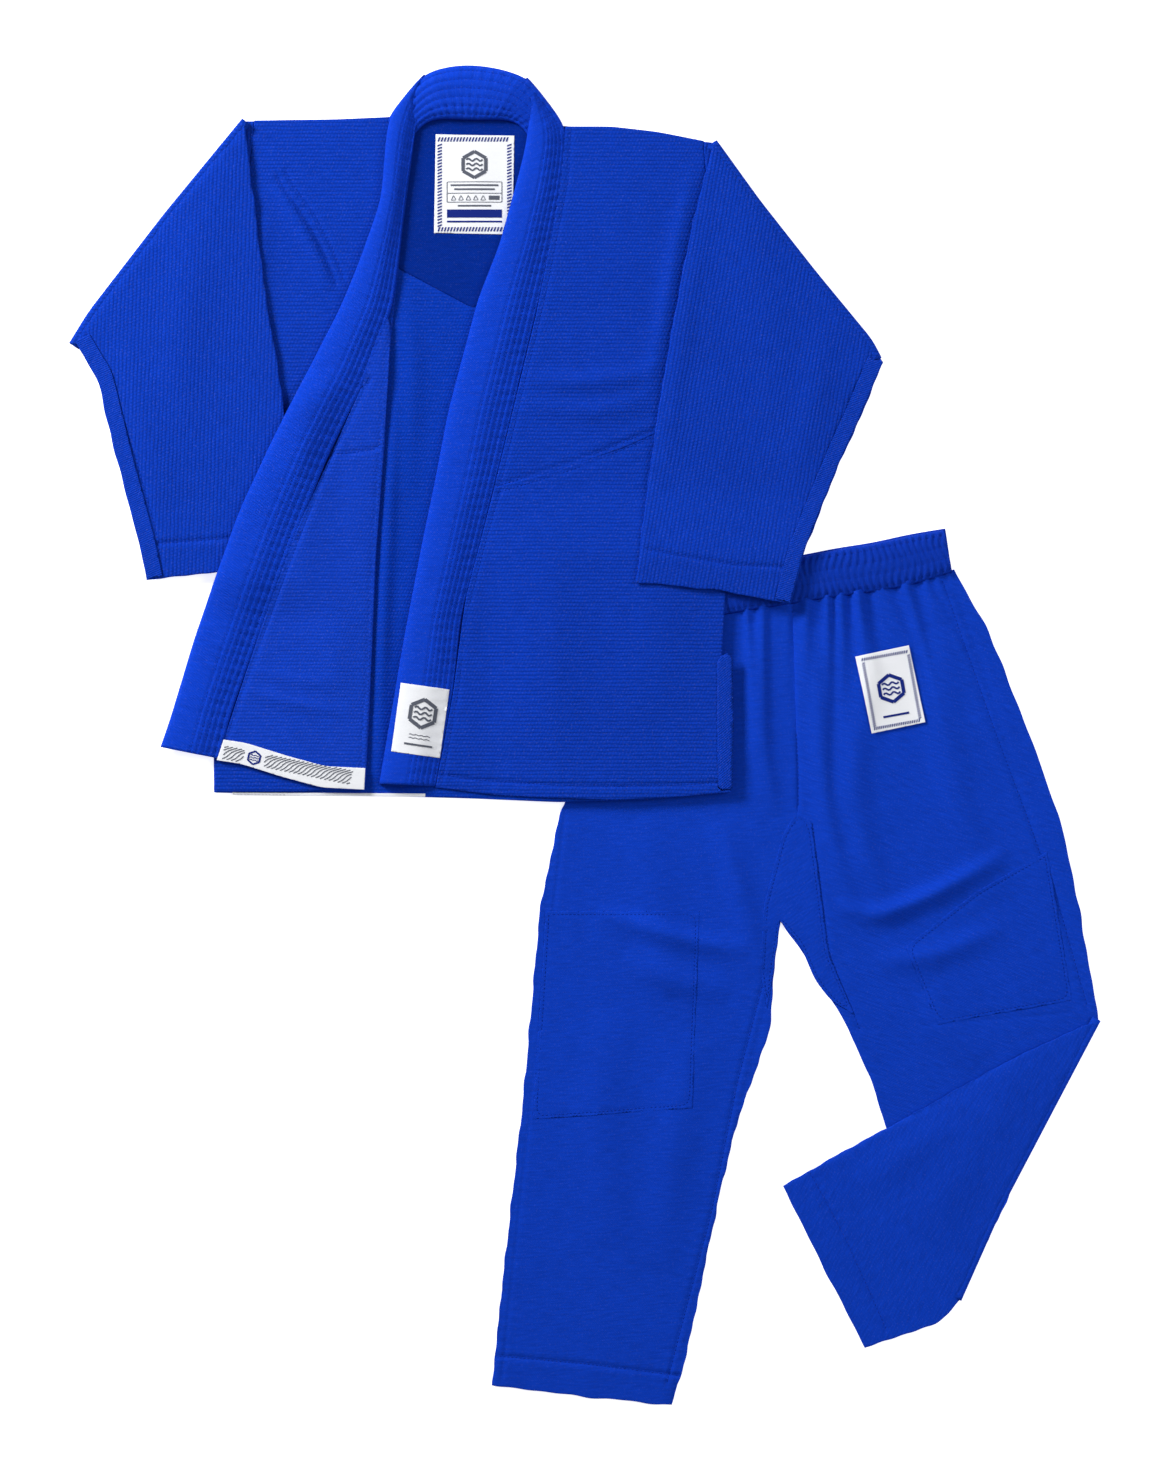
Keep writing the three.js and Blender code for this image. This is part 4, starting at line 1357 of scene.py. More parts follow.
@dataclass
class FoldStrip:
    """The cloth that runs round a fold, from the layer below to the layer above.

    Attributes:
        name: Name of the piece.
        line: The fold in plan.
        low: Height of the lower end.
        high: Height of the upper end.
        outward: +1 if the fold bulges to the left of the line's run, -1 if to the right.
        bulge: How far it bulges.
        inside: How far its ends reach in.
        hold: What it is held by.
        finish: Its finish.
    """

    name: str
    line: np.ndarray
    low: float
    high: float
    outward: int
    bulge: float
    inside: float
    hold: Hold
    finish: Finish

    def build(self) -> bpy.types.Object:
        """Makes the strip.

        Returns:
            The object.
        """
        path = smooth_line(self.line, 0.004, 4)
        run = np.gradient(path, axis=0)
        run /= np.linalg.norm(run, axis=1)[:, None]
        out = np.column_stack([-run[:, 1], run[:, 0]]) * self.outward
        section = []
        middle, rise = (self.low + self.high) / 2, (self.high - self.low) / 2
        for skin in (0.0, FOLD_CLOTH):
            part = [(-self.inside, middle - rise + skin)]
            for k in range(9):
                t = -math.pi / 2 + math.pi * k / 8
                part.append(((self.bulge - skin) * math.cos(t), middle + (rise - skin) * math.sin(t)))
            part.append((-self.inside, middle + rise - skin))
            section.append(part)
        ring = section[0] + section[1][::-1]
        count = len(ring)
        verts = [(*(p + o * x), z) for p, o in zip(path, out) for x, z in ring]
        faces = []
        for i in range(len(path) - 1):
            for k in range(count):
                n = (k + 1) % count
                faces.append((i * count + k, i * count + n, (i + 1) * count + n, (i + 1) * count + k))
        for i in (0, len(path) - 1):
            for k in range(count // 2 - 1):
                quad = (i * count + k, i * count + k + 1, i * count + count - 2 - k,
                        i * count + count - 1 - k)
                faces.append(quad if i else quad[::-1])
        if self.outward > 0:
            faces = [tuple(reversed(f)) for f in faces]
        verts = np.array(verts)
        made = new_object(self.name, verts, faces, self.finish, verts[:, :2])
        self.hold.fix(made)
        return made


class Trousers:
    """The trousers: two legs, a waistband, patches, and a lower leg folded up."""

    def __init__(self) -> None:
        """Lays out the folds that run over every layer of the trousers."""
        self.folds = (
            Fold(mm((142, 96), (143, 40), (146, -10), (158, -66)), 0.0046, 0.010, 0.4),
            Fold(mm((190, 92), (194, 30), (196, -30), (205, -90), (226, -150)), 0.0050, 0.011, 0.4),
            Fold(mm((238, 70), (226, 10), (222, -50), (236, -110), (262, -160)), 0.0048, 0.013),
            Fold(mm((300, 90), (296, 20), (310, -60), (345, -140)), 0.0040, 0.015),
            Fold(mm((208, -140), (240, -152), (290, -132), (352, -98)), 0.0062, 0.0095, 0.5),
            Fold(mm((240, -190), (290, -184), (350, -160)), 0.0036, 0.011, 0.4),
            Fold(mm((8, -146), (50, -160), (90, -172), (136, -180)), 0.0044, 0.010, 0.5),
            Fold(mm((30, -186), (70, -204), (120, -216)), 0.0030, 0.012),
            Fold(mm((110, -70), (128, -130), (146, -200)), 0.0042, 0.011),
            Fold(mm((20, -230), (8, -330), (20, -430)), 0.0030, 0.020),
            Fold(mm((90, -250), (72, -350), (60, -450)), 0.0034, 0.018),
            Fold(mm((280, -215), (300, -250), (330, -275)), 0.0024, 0.014),
            Fold(mm((40, -70), (60, -140), (70, -220)), 0.0030, 0.018),
            Gathers(mm((126, 108), (172, 112), (230, 119), (286, 128), (306, 137)), 0.0150, 0.062, 0.0072),
        )

    def legs(self) -> None:
        """Builds the two legs, front and back."""
        centre = Stitching(mm((172, 112), (173, 60), (174, 26), (177, -27), (177, -61)), 0.0009, 0.0005)
        edge = Stitching(mm((166, 112), (167, 60), (168, 26), (171, -27), (171, -61)), 0.0004, 0.0002)
        inner = Stitching(mm((189, -73), (196, -127), (203, -182), (229, -247)), 0.0006, 0.0004)
        hem = Stitching(mm((-79, -520), (0, -527), (79, -537)), 0.0009, 0.0008)
        inseam = Stitching(mm((154, -163), (148, -205), (126, -290), (104, -400), (66, -545)), 0.0006, 0.0010)
        outseam = Stitching(mm((-18, -60), (-40, -240), (-72, -540)), 0.0004, 0.0006)
        flank = Stitching(mm((298, 130), (340, 10), (370, -70), (398, -150), (420, -228)), 0.0006, 0.0007)
        across = Stitching(mm((282, -243), (345, -238), (406, -232)), 0.0003, 0.0002)
        under_sleeve = mm((60, 88), (110, 96), (179, 102), (180, 128), (120, 121), (60, 110))
        rim = [(mm((-25, -52), (-50, -290), (-80, -545)), 0.0011, 0.006),
               (mm((162, -153), (155, -201), (71, -562)), 0.0011, 0.006)]
        front = Panel.over("left_leg_front_cloth", TROUSERS, TWILL, ("left_leg_front",),
                           ("left_leg_back_cloth",), grow=0.0003, extra=(under_sleeve,),
                           thickness=TROUSER_CLOTH, features=self.folds + (centre, hem, inseam, outseam),
                           rolls=tuple(rim), grain=4, uneven=0.0009, kept=centre.line).build()
        sides = [(mm((305, 140), (365, -50), (429, -237)), 0.0011, 0.006),
                 (mm((162, -153), (179, -174), (206, -222), (238, -286)), 0.0011, 0.006)]
        other = Panel.over("right_leg_front_cloth", TROUSERS, TWILL, ("right_leg_front",),
                           ("right_leg_back_cloth",), grow=0.0003, thickness=TROUSER_CLOTH,
                           features=self.folds + (centre, edge, inner, flank, across), rolls=tuple(sides),
                           grain=-18, uneven=0.0009, kept=centre.line).build()
        for node in ("left_leg_back", "right_leg_back"):
            Panel.over(f"{node}_cloth", TROUSERS, TWILL_INSIDE, (node,), ("floor",), thickness=TROUSER_CLOTH,
                       wave=0.0, pitch=0.006, raise_by=0.0001).build()
        sewn = Threads("trouser_thread", TROUSERS)
        sewn.add_panel(front, [hem, inseam])
        sewn.add_panel(other, [centre, edge, inner, flank])
        sewn.build()

    def patches(self) -> None:
        """Builds the gusset, the two knee patches and the label."""
        sewn = Threads("patch_thread", TROUSERS)
        for node, grain in (("crotch_gusset", 30), ("left_knee_patch", 4), ("right_knee_patch", -18)):
            loop = Loop.around(node, grow=0.0)
            ring = grown(loop.points, -0.0028)
            row = Stitching(np.vstack([ring, ring[:1]]), 0.0002, 0.0001)
            patch = Panel(f"{node}_cloth", TROUSERS, TWILL, (node,), ("left_leg_front_cloth",), loop=loop,
                          level=Level(node), thickness=0.0004, features=self.folds + (row,), grain=grain,
                          wave=0.0005, raise_by=-0.0005).build()
            sewn.add_panel(patch, [row])
        sewn.build()
        gathers = self.folds[-1]
        calmer = Gathers(gathers.line, gathers.pitch, gathers.reach, 0.6 * gathers.height)
        label = Panel.over("trouser_label", TROUSERS, LABEL, ("trouser_patch",), ("right_leg_front_cloth",),
                           thickness=LABEL_CLOTH, features=self.folds[:-1] + (calmer,), wave=0.0005,
                           raise_by=0.0012, pitch=0.002).build()
        art = Print("trouser_label_print", TROUSERS, NAVY, label, (0.2385, 0.0025), 10.3)
        art.hatched_border(0.0455, 0.0655, 0.0022, 0.0024, 0.0019)
        emblem(art, 0.0228, 0.034, 0.0115)
        art.bar(0.012, 0.0105, 0.022, 0.0018)
        art.build()

    def waistband(self) -> None:
        """Builds the gathered waistband and its elastic."""
        top = mm((42, 128), (110, 139), (181, 151), (210, 157), (238, 161), (268, 168), (299, 173))
        low = mm((36, 92), (110, 101), (172, 111), (205, 116), (230, 119), (268, 125), (306, 137))
        level = Level("waistband_front")
        front = Band("waistband_front_cloth", TROUSERS, BAND, ("waistband_front", "waist_elastic_front"),
                     ("waistband_back_cloth",), left=low, right=top, level=level, base=-0.0034, height=0.0052,
                     rows=(0.10, 0.36, 0.62, 0.88), columns=26, squareness=2.6, puckers=0.0014, groove=0.0006,
                     pucker_pitch=0.0058, straying=2.4, pitch=0.0011)
        front.build()
        back = Band("waistband_back_cloth", TROUSERS, BAND, ("waistband_back", "waist_elastic_back"),
                    ("floor",),
                    left=low, right=top + mm((1.5, 1.5)), level=level, base=-0.0062, height=0.0028, rows=(),
                    columns=12)
        back.build()
        Threads("waistband_thread", TROUSERS, lines=front.threads()).build()

    def lower_leg(self) -> None:
        """Builds the right lower leg, folded up over the leg."""
        hem = Stitching(mm((185, -363), (200, -390), (216, -420), (235, -462), (251, -498)), 0.0008, 0.0008)
        folds = (self.folds[11], Fold(mm((385, -255), (330, -330), (280, -420)), 0.0033, 0.024),
                 Fold(mm((330, -300), (270, -350), (225, -380)), 0.0024, 0.016))
        nodes = sorted(("right_shin_front", "right_shin_back"), key=lambda n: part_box(n)[1].z)
        rim = ((LEG_FOLD, 0.0024, 0.006), (mm((369, -262), (300, -304), (252, -328), (164, -376)), 0.0012,
                                           0.005))
        upper = Panel.over("lower_leg_upper_cloth", LOWER_LEG, TWILL, (nodes[1],), ("lower_leg_under_cloth",),
                           grow=0.0004, thickness=TROUSER_CLOTH, features=folds + (hem,), rolls=rim, grain=62,
                           uneven=0.0008).build()
        Panel.over("lower_leg_under_cloth", LOWER_LEG, TWILL_INSIDE, (nodes[0],), ("right_leg_front_cloth",),
                   thickness=TROUSER_CLOTH, wave=0.0002, pitch=0.005, grain=62, features=folds).build()
        sewn = Threads("lower_leg_thread", LOWER_LEG)
        sewn.add_panel(upper, [hem])
        sewn.build()
        for node, hold, on, extra in (("right_leg_hem_tape", LOWER_LEG, "lower_leg_under_cloth", folds),
                                      ("left_leg_hem_tape", TROUSERS, "left_leg_back_cloth", ())):
            Panel.over(f"{node}_cloth", hold, WHITE, (node,), (on,), grow=0.0001, thickness=LABEL_CLOTH,
                       wave=0.0, pitch=0.004, features=extra).build()
        FoldStrip("leg_fold_cloth", LEG_FOLD, 0.0004, 0.0052, 1, 0.0022, 0.006,
                  Hold("trousers", "right_lower_leg", (0.37, -0.35, 0.0012), (0.37, -0.35, 0.0044)),
                  TWILL).build()

    def build(self) -> None:
        """Builds the whole pair of trousers."""
        self.legs()
        self.patches()
        self.waistband()
        self.lower_leg()


def emblem(art: Print, x: float, y: float, radius: float) -> None:
    """A plain emblem: a hexagon round three waves.

    Args:
        art: The print it is drawn on.
        x: Its centre across.
        y: Its centre upward.
        radius: Its outer radius.
    """
    ring = [(x + radius * math.cos(math.radians(30 + 60 * k)),
             y + radius * math.sin(math.radians(30 + 60 * k))) for k in range(6)]
    for i in range(6):
        art.line([ring[i], ring[(i + 1) % 6]], radius * 0.26)
    for sign in (-1, 0, 1):
        wave = [(x + radius * 0.62 * (t / 8 - 1),
                 y + sign * radius * 0.36 + radius * 0.10 * math.sin(t * 0.8)) for t in range(17)]
        art.line(wave, radius * 0.13)


class Jacket:
    """The jacket without the parts that turn: back, collar, left sleeve and the lower layers."""

    def body(self) -> None:
        """Builds the back and the yoke, both with painted shade in their colour, and the left side's lower
        layers.
        """
        chevron = Stitching(mm((-157, 392), (-136, 381), (-96, 360), (-90, 371)), 0.0009, 0.0004)
        back_folds = (Fold(mm((-160, 290), (-168, 150), (-172, 60), (-176, -46)), 0.0034, 0.0065, 0.3),
                      Fold(mm((-150, 380), (-146, 300), (-152, 200)), 0.0021, 0.009),
                      chevron)
        # The back panel carries painted shade in its finish colour.
        back = Panel.over("back_panel_cloth", JACKET, BACK_INSIDE_PAINTED_SHADE, ("back_panel",), ("floor",), grow=0.0006,
                          features=back_folds, wave=0.0002, raise_by=0.0002).build()
        under_collar = mm((-160, 500), (-30, 495), (-34, 530), (-60, 545), (-100, 552), (-135, 545),
                          (-155, 528))
        # The yoke panel carries painted shade in its finish colour.
        Panel.over("back_yoke_cloth", JACKET, YOKE_PAINTED_SHADE, ("back_yoke",), ("floor",), grow=0.0009,
                   extra=(under_collar,), wave=0.0002, raise_by=0.0004).build()
        diagonal = Stitching(mm((-260, 470), (-257, 463), (-236, 434), (-222, 408), (-210, 379)), 0.0010,
                             0.0006)
        second = Stitching(mm((-253, 474), (-250, 467), (-229, 438), (-215, 412), (-204, 384)), 0.0008,
                           0.0003)
        ridge = Fold(mm((-262, 462), (-242, 432), (-226, 402), (-216, 372)), 0.0027, 0.006, 0.4)
        chest = (diagonal, second, ridge, Fold(mm((-270, 440), (-275, 400), (-268, 350)), 0.0018, 0.008))
        front = Panel.over("left_chest_cloth", JACKET, PEARL, ("left_shoulder", "left_front"),
                           ("back_panel_cloth",), grow=0.0005, features=chest, wave=0.0004).build()
        Panel.over("left_skirt_cloth", JACKET, PEARL, ("left_skirt",), ("back_panel_cloth",), wave=0.0,
                   pitch=0.005).build()
        sewn = Threads("jacket_thread", JACKET)
        sewn.add_panel(front, [diagonal, second])
        sewn.add_panel(back, [chevron])
        sewn.build()
        Panel("back_hem_tape_cloth", JACKET, WHITE, ("back_hem_tape",), ("back_panel_cloth",),
              loop=Loop(mm((-298, -49.6), (-215, -50.2), (-136, -51.0), (-136, -48.2), (-215, -47.6),
                           (-298, -47.0))),
              level=Level("back_hem_tape"), thickness=LABEL_CLOTH, wave=0.0).build()
        FoldStrip("left_front_fold_cloth", LEFT_FOLD[3:], 0.0024, 0.0058, 1, 0.0020, 0.006,
                  Hold("jacket", "left_front", (-0.17, 0.2, 0.0032), (-0.17, 0.2, 0.0050)),
                  PEARL_INSIDE).build()

    def collar(self) -> None:
        """Builds the rolled collar and its core."""
        collar = Band("collar_cloth", JACKET, LAPEL_PAINTED_LIGHT, ("collar_cover", "collar_core"), ("back_yoke_cloth",),
                      left=COLLAR_OUTER, right=COLLAR_INNER, level=lambda p: np.full(len(p), 0.0024),
                      height=0.0096,
                      rows=(0.12, 0.28, 0.44, 0.60, 0.76, 0.90), columns=46, squareness=2.4, puckers=0.0007,
                      groove=0.0010,
                      heights=((0.0, 0.30), (0.10, 0.55), (0.28, 1.0), (0.68, 1.0), (0.88, 0.55),
                               (1.0, 0.30)))
        collar.build()
        Threads("collar_thread", JACKET, lines=collar.threads()).build()

    def neck_label(self) -> None:
        """Builds the label inside the neck."""
        label = Panel.over("neck_label_cloth", JACKET, LABEL, ("neck_label",), ("back_yoke_cloth",),
                           thickness=LABEL_CLOTH, wave=0.0003, raise_by=0.0004, pitch=0.0025,
                           features=(Fold(mm((-95, 505), (-95, 422)), 0.0012, 0.02),)).build()
        art = Print("neck_label_border", JACKET, NAVY, label, (-0.1277, 0.4217), 0.0)
        art.hatched_border(0.0660, 0.0830, 0.0020, 0.0036, 0.0026)
        art.build()
        text = Print("neck_label_print", JACKET, INK, label, (-0.1277, 0.4217), 0.0)
        emblem(text, 0.033, 0.058, 0.011)
        text.line([(0.010, 0.0265), (0.056, 0.0265), (0.056, 0.0435), (0.010, 0.0435)], 0.0005, True)
        text.line([(0.010 + 0.002 * k, 0.0340) for k in range(24)], 0.0005)
        for k, width in enumerate((0.040, 0.034)):
            text.bar(0.033 - width / 2, 0.0400 - 0.0034 * k, width, 0.0014)
        for k in range(5):
            text.line([(0.0135 + 0.0062 * k, 0.0282), (0.0175 + 0.0062 * k, 0.0282),
                       (0.0155 + 0.0062 * k, 0.0322)], 0.0005, True)
        text.bar(0.045, 0.0285, 0.009, 0.0034)
        text.bar(0.019, 0.0228, 0.028, 0.0013)
        text.build()
        foot = Print("neck_label_bar", JACKET, NAVY, label, (-0.1277, 0.4217), 0.0)
        foot.bar(0.010, 0.0135, 0.046, 0.0068)
        foot.bar(0.010, 0.0095, 0.046, 0.0014)
        foot.build()

    def left_sleeve(self) -> None:
        """Builds the left sleeve, folded back on itself."""
        fold = Stitching(mm((-365, 161), (-312, 165), (-240, 172)), 0.0010, 0.0009)
        tape = Stitching(mm((-420, 338), (-404, 299), (-379, 235), (-361, 171), (-355, 131)), 0.0006, 0.0003)
        folds = (Fold(mm((-300, 490), (-330, 400), (-345, 300), (-340, 200)), 0.0018, 0.020),
                 Fold(mm((-390, 330), (-370, 260), (-350, 190)), 0.0018, 0.014))
        rolls = ((LEFT_SLEEVE_FOLD, 0.0022, 0.007), (LEFT_SLEEVE_OUTER, 0.0014, 0.005))
        upper = Panel.over("left_sleeve_upper_cloth", JACKET, PEARL, ("left_sleeve_upper",),
                           ("left_sleeve_under_cloth",), grow=0.0006, features=folds + (fold, tape),
                           rolls=rolls, grain=88, wave=0.0004, uneven=0.0007).build()
        for node, wave in (("left_sleeve_under", 0.0002), ("left_sleeve_root_front", 0.0),
                           ("left_sleeve_root_back", 0.0)):
            Panel.over(f"{node}_cloth", JACKET, PEARL, (node,), ("back_panel_cloth",), wave=wave, pitch=0.006,
                       grain=88).build()
        sewn = Threads("left_sleeve_thread", JACKET)
        sewn.add_panel(upper, [fold, tape])
        sewn.build()
        for node in ("left_underarm_tape", "left_cuff_tape"):
            inside = "cuff" in node
            Panel.over(f"{node}_cloth", JACKET, WHITE if inside else TAPE, (node,),
                       ("left_sleeve_upper_cloth",), thickness=LABEL_CLOTH, wave=0.0, grain=70,
                       features=() if inside else folds, raise_by=0.0 if inside else 0.0006).build()
        FoldStrip("left_sleeve_fold_cloth", LEFT_SLEEVE_FOLD, 0.0004, 0.0076, -1, 0.0034, 0.006, JACKET,
                  PEARL).build()

    def build(self) -> None:
        """Builds the still parts of the jacket."""
        self.body()
        self.collar()
        self.neck_label()
        self.left_sleeve()


class RightFront:
    """The right front with its lapel, vent and patch, which turns about its side."""

    def build(self) -> None:
        """Builds the front."""
        creases = (Fold(mm((-66, 303), (-20, 296), (30, 300), (64, 310)), 0.0033, 0.010, 0.4),
                   Fold(mm((-60, 280), (0, 272), (60, 282)), 0.0024, 0.009),
                   Fold(mm((90, 480), (76, 420), (64, 350), (50, 280)), 0.0030, 0.007),
                   Fold(mm((20, 500), (30, 420), (20, 360)), 0.0014, 0.030))
        seam = Stitching(mm((-76, 210), (-9, 231), (55, 257)), 0.0010, 0.0005)
        under = Stitching(mm((-76, 204), (-9, 225), (55, 251)), 0.0005, 0.0002)
        hem = Stitching(mm((-124, -32), (-90, -37), (-26, -41), (22, -42), (77, -41), (120, -38)), 0.0010,
                        0.0009)
        beside = Stitching(mm((-14, 508), (-16, 467), (-36, 367), (-62, 258), (-73, 212)), 0.0006, 0.0003)
        lower_beside = Stitching(mm((-73, 206), (-84, 169), (-102, 100), (-108, 40), (-122, -38)), 0.0006,
                                 0.0003)
        lower = (Fold(mm((-60, 180), (-40, 80), (-50, -20)), 0.0018, 0.030),
                 Fold(mm((50, 200), (62, 100), (52, 10)), 0.0021, 0.026))
        chest = Panel.over("right_chest_cloth", RIGHT_TURN, PEARL, ("right_front_side", "right_front_flap"),
                           ("back_panel_cloth",), grow=0.0005, features=creases + (seam, beside),
                           wave=0.0005).build()
        skirt = Panel.over("right_skirt_cloth", RIGHT_TURN, PEARL, ("right_skirt_side", "right_skirt_flap"),
                           ("back_panel_cloth",), grow=0.0005, features=lower + (under, hem, lower_beside),
                           wave=0.0005).build()
        lapel = Band("right_lapel_cloth", RIGHT_LAPEL_TURN, LAPEL_PAINTED_LIGHT, ("right_lapel_cover", "right_lapel_core"),
                     ("back_panel_cloth",), left=RIGHT_LAPEL_OUTER, right=RIGHT_LAPEL_INNER,
                     level=lambda p: np.full(len(p), 0.0022),
                     height=0.0074, rows=(0.05, 0.14, 0.23, 0.32, 0.41, 0.50), squareness=3.2, puckers=0.0006,
                     groove=0.0009,
                     soft_edge=0.0, soft_share=0.40, heights=((0.0, 0.3), (0.03, 0.9), (0.08, 1.05),
                                                              (0.14, 1.0), (1.0, 1.0)))
        lapel.build()
        sewn = Threads("right_front_thread", RIGHT_TURN)
        sewn.add_panel(chest, [seam, beside])
        sewn.add_panel(skirt, [under, hem, lower_beside])
        sewn.build()
        Threads("right_lapel_thread", RIGHT_LAPEL_TURN, lines=lapel.threads()).build()
        patch = Panel("lapel_label", RIGHT_FRONT, LABEL, ("lapel_patch",), ("right_lapel_cloth",),
                      loop=Loop.around("lapel_patch", grow=0.0), level=lapel.surface, thickness=LABEL_CLOTH,
                      wave=0.0,
                      raise_by=0.0007, pitch=0.0025).build()
        art = Print("lapel_label_print", RIGHT_FRONT, INK, patch, (-0.1633, -0.0117), -8.5)
        emblem(art, 0.0208, 0.034, 0.012)
        for k in range(2):
            art.line([(0.012 + 0.0011 * t,
                       0.0155 - 0.0028 * k + 0.0005 * math.sin(t * 1.5)) for t in range(17)], 0.0006)
        art.bar(0.009, 0.0065, 0.0235, 0.0016)
        art.build()
        Panel.over("right_hem_tape_cloth", RIGHT_FRONT, WHITE, ("right_hem_tape",), ("back_panel_cloth",),
                   thickness=LABEL_CLOTH, wave=0.0).build()
        edge = mm((108.2, 62), (111.5, 67), (117, 69.5), (121, 67), (122.2, 60), (121.6, 52), (122.6, 20),
                  (122.0, -20), (121.4, -44.5),
                  (109.2, -46), (108.6, 0))
        turned_in = Fold(mm((110.6, 60), (110.8, 20), (110.4, -40)), -0.0003, 0.0011)
        Panel("right_vent_tape_cloth", JACKET, TAPE, ("right_vent_tape",), ("right_skirt_cloth",),
              loop=Loop(edge), level=Level("right_vent_tape"), thickness=0.0005, wave=0.0006,
              features=(turned_in,),
              raise_by=0.0002, grain=85).build()


class LeftFront:
    """The left front, turned back so that its inside shows, with its lapel and printed hem tape."""

    def build(self) -> None:
        """Builds the turned front."""
        beside = Stitching(mm((-182, 300), (-214, 236), (-242, 164), (-268, 95), (-296, 18), (-307, -16)),
                           0.0012, 0.0003)
        seam = Stitching(mm((-217, 236), (-195, 238), (-171, 242)), 0.0009, 0.0004)
        soft = (Fold(mm((-200, 220), (-205, 120), (-215, 20)), 0.0015, 0.018),
                Fold(mm((-290, 40), (-240, 26), (-196, 20)), 0.0015, 0.006, 0.5),
                Fold(mm((-286, 56), (-240, 46), (-200, 44)), 0.0009, 0.005))
        rolls = ((LEFT_FOLD, 0.0012, 0.006),)
        nodes = ("left_front_turned", "left_skirt_turned")
        taper = mm((-205, 294), (-168.5, 294), (-166, 315), (-164.5, 345), (-170, 358), (-192, 326))
        turned = Panel.over("left_turned_cloth", LEFT_FRONT, PEARL_INSIDE, nodes, ("left_skirt_cloth",),
                            grow=0.0005, extra=(taper,), features=soft + (beside, seam), rolls=rolls,
                            wave=0.0005, raise_by=0.0003).build()
        level = Level("left_lapel_cover", blur=5)
        lapel = Band("left_lapel_cloth", LEFT_TURN, LAPEL_PAINTED_LIGHT, ("left_lapel_cover", "left_lapel_core"),
                     ("left_sleeve_upper_cloth",), left=LEFT_LAPEL_OUTER, right=LEFT_LAPEL_INNER, level=level,
                     base=-0.0064,
                     height=0.0070, rows=(0.50, 0.60, 0.70, 0.80, 0.90), squareness=3.0, puckers=0.0007,
                     groove=0.0009,
                     soft_edge=1.0, soft_share=0.42, heights=((0.0, 0.35), (0.05, 0.8), (0.10, 1.0),
                                                              (1.0, 1.0)))
        lapel.build()
        sewn = Threads("left_front_thread", LEFT_FRONT)
        sewn.add_panel(turned, [beside, seam])
        sewn.build()
        Threads("left_lapel_thread", LEFT_TURN, lines=lapel.threads()).build()
        tape = Panel.over("left_hem_tape_cloth", LEFT_FRONT, WHITE, ("left_hem_tape",),
                          ("left_turned_cloth",), grow=0.0006, thickness=LABEL_CLOTH, wave=0.0003,
                          raise_by=0.0006, pitch=0.002).build()
        art = Print("left_hem_tape_print", LEFT_FRONT, INK, tape, (-0.3085, -0.0195), -11.5)
        for k in range(-4, 30):
            wave = []
            for t in range(16):
                y = 0.0012 + 0.0008 * t
                x = 0.0038 * k + 1.3 * y + 0.0012 * math.sin(y * 560)
                if 0.002 < x < 0.112 and y < 0.0125 + 0.02 * max(0.0, x - 0.06) and not 0.020 < x < 0.037:
                    wave.append((x, y))
            if len(wave) > 2:
                art.line(wave, 0.00075)
        art.build()
        mark = Print("left_hem_tape_mark", LEFT_FRONT, NAVY, tape, (-0.3085, -0.0195), -11.5)
        emblem(mark, 0.0285, 0.0072, 0.0056)
        mark.build()


class RightSleeve:
    """The right sleeve, folded back over the body."""

    def build(self) -> None:
        """Builds the sleeve and its roots."""
        cuff = Stitching(mm((176, 141), (124, 143), (82, 150), (41, 158)), 0.0010, 0.0009)
        tape = Stitching(mm((241, 321), (220, 283), (206, 249), (161, 118)), 0.0006, 0.0003)
        folds = (Fold(mm((112, 480), (140, 400), (160, 300), (150, 200)), 0.0015, 0.022),
                 Fold(mm((200, 350), (190, 280), (170, 200)), 0.0018, 0.014),
                 Fold(mm((100, 440), (84, 360), (72, 280), (60, 200)), 0.0012, 0.008))
        rolls = ((RIGHT_SLEEVE_FOLD, 0.0022, 0.007),
                 (mm((244, 316), (232, 281), (209, 229), (180, 152), (169, 112)), 0.0014, 0.005),
                 (mm((104, 497), (89, 439), (76, 383), (64, 307), (55, 256), (44, 169), (39, 130)), 0.0014,
                  0.005))
        upper = Panel.over("right_sleeve_upper_cloth", RIGHT_SLEEVE, PEARL, ("right_sleeve_upper",),
                           ("right_sleeve_under_cloth",), grow=0.0006, features=folds + (cuff, tape),
                           rolls=rolls, grain=80, wave=0.0004, uneven=0.0007).build()
        Panel.over("right_sleeve_under_cloth", RIGHT_SLEEVE, PEARL, ("right_sleeve_under",),
                   ("right_chest_cloth",), wave=0.0002, pitch=0.005, grain=80).build()
        for node in ("right_sleeve_root_front", "right_sleeve_root_back"):
            Panel.over(f"{node}_cloth", JACKET, PEARL, (node,), ("back_panel_cloth",), wave=0.0, pitch=0.006,
                       grain=80).build()
        sewn = Threads("right_sleeve_thread", RIGHT_SLEEVE)
        sewn.add_panel(upper, [cuff, tape])
        sewn.build()
        for node in ("right_underarm_tape", "right_cuff_tape"):
            inside = "cuff" in node
            Panel.over(f"{node}_cloth", RIGHT_SLEEVE, WHITE if inside else TAPE, (node,),
                       ("right_sleeve_upper_cloth",), thickness=LABEL_CLOTH, wave=0.0, grain=65,
                       features=() if inside else folds, raise_by=0.0 if inside else 0.0006).build()
        FoldStrip("right_sleeve_fold_cloth", RIGHT_SLEEVE_FOLD, 0.0004, 0.0076, 1, 0.0034, 0.006,
                  Hold("jacket", "right_sleeve", (0.17, 0.41, 0.0030), (0.17, 0.41, 0.0052)), PEARL).build()


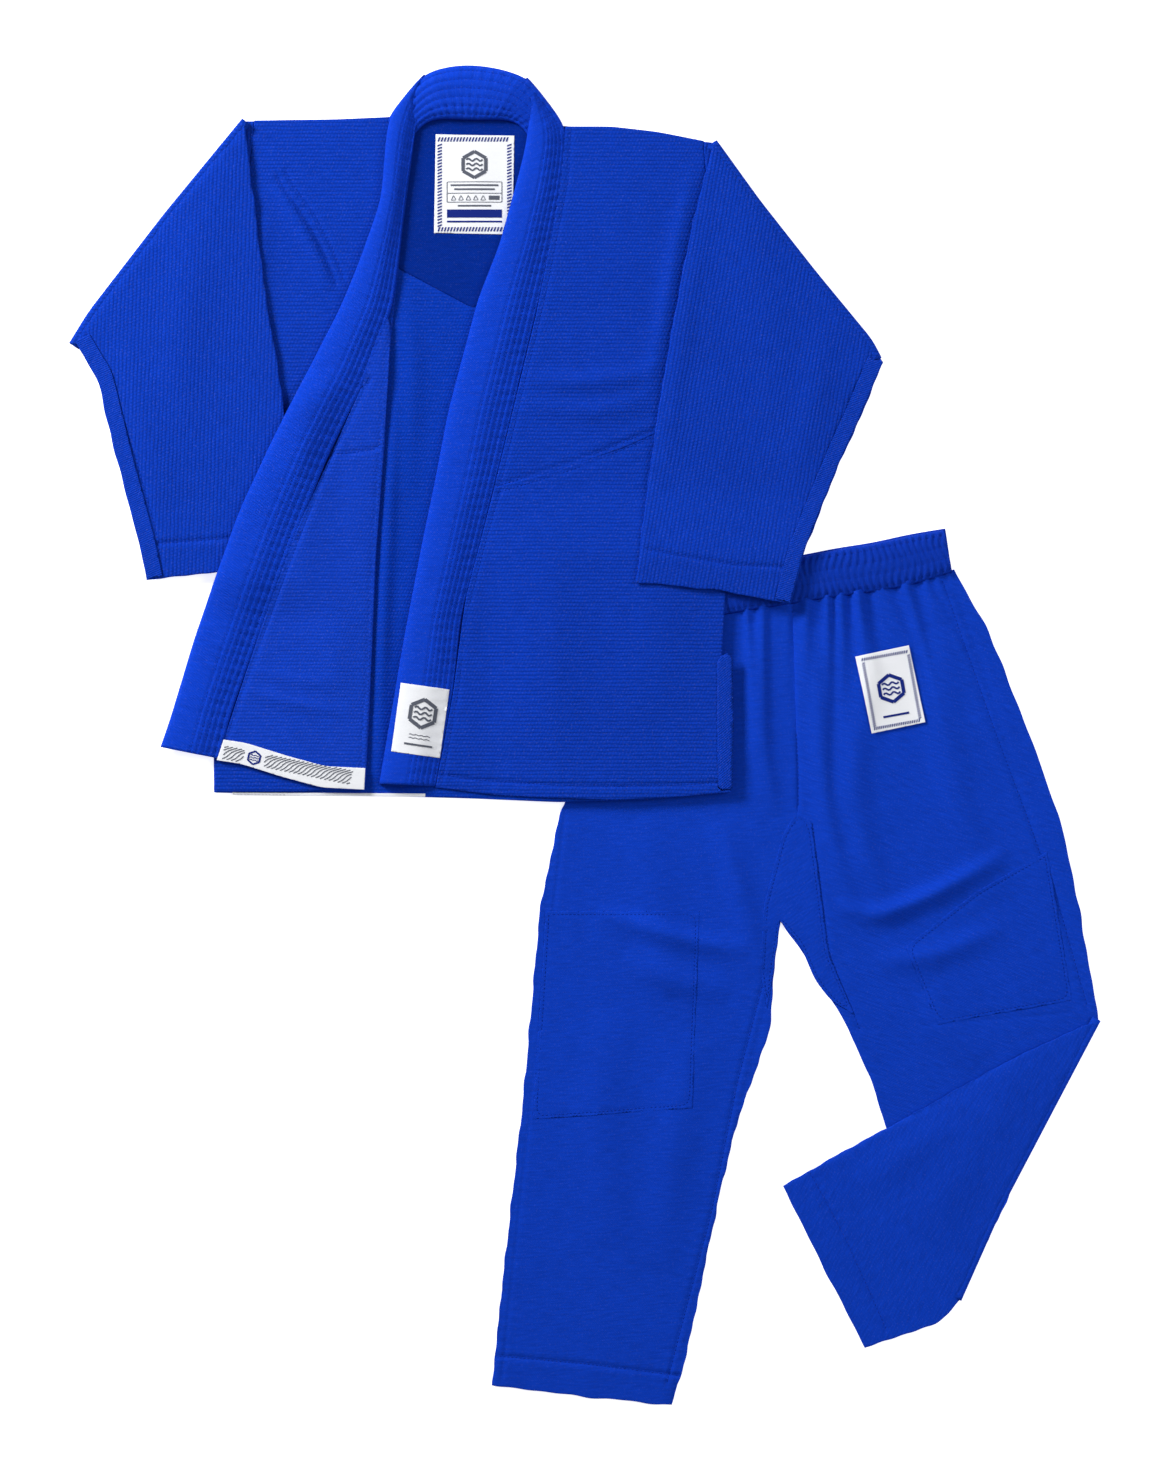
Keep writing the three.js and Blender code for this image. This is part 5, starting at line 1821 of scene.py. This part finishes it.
class Studio:
    """The floor, the light and the camera."""

    EYE = (-0.0019, 0.0039, 2.902)
    LENS, SENSOR = 85.0, 36.0  # millimetres
    FLOOR_SIDE, FLOOR_LEVEL = 40.0, -0.0004
    PAPER = (0.93, 0.93, 0.93, 1)
    PAPER_ROUGHNESS, PAPER_GLOSS, PAPER_GLOW = 0.95, 0.1, 0.72
    WHITE = (1.0, 1.0, 1.0, 1)
    AIR_STRENGTH = 0.31
    LAMPS = (  # name, place, power in watts, side
        ("key_light", (-2.0, 1.6, 1.25), 106.0, 0.8),
        ("fill_light", (2.1, 0.5, 1.9), 30.0, 1.4),
    )

    def build(self) -> None:
        """Sets up the studio."""
        scene = bpy.context.scene
        bpy.ops.mesh.primitive_plane_add(size=self.FLOOR_SIDE, location=(0, 0, self.FLOOR_LEVEL))
        floor = bpy.context.object
        floor.name = "floor"
        pale = bpy.data.materials.new("floor_paper")
        pale.use_nodes = True
        shader = pale.node_tree.nodes["Principled BSDF"]
        shader.inputs["Base Color"].default_value = self.PAPER
        shader.inputs["Roughness"].default_value = self.PAPER_ROUGHNESS
        shader.inputs["Specular IOR Level"].default_value = self.PAPER_GLOSS
        shader.inputs["Emission Color"].default_value = self.WHITE
        shader.inputs["Emission Strength"].default_value = self.PAPER_GLOW
        floor.data.materials.append(pale)
        world = bpy.data.worlds.new("studio_air")
        world.use_nodes = True
        background = world.node_tree.nodes["Background"]
        background.inputs[0].default_value = self.WHITE
        background.inputs[1].default_value = self.AIR_STRENGTH
        scene.world = world
        for name, place, energy, size in self.LAMPS:
            lamp = bpy.data.lights.new(name, "AREA")
            lamp.energy, lamp.size = energy, size
            made = bpy.data.objects.new(name, lamp)
            made.location = place
            made.rotation_euler = (-Vector(place)).to_track_quat("-Z", "Y").to_euler()
            scene.collection.objects.link(made)
        lens = bpy.data.cameras.new("camera")
        lens.lens, lens.sensor_fit = self.LENS, "VERTICAL"
        lens.sensor_width = lens.sensor_height = self.SENSOR
        camera = bpy.data.objects.new("camera", lens)
        camera.location = self.EYE
        scene.collection.objects.link(camera)
        scene.camera = camera
        scene.view_settings.view_transform = "Standard"
        scene.view_settings.look = "None"


def main() -> None:
    """Builds the uniform, piece by piece, and the studio round it."""
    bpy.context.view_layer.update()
    Studio().build()
    for part in (Trousers(), Jacket(), RightFront(), LeftFront(), RightSleeve()):
        LOG.info("-- %s", type(part).__name__)
        part.build()


if __name__ == "__main__":
    main()
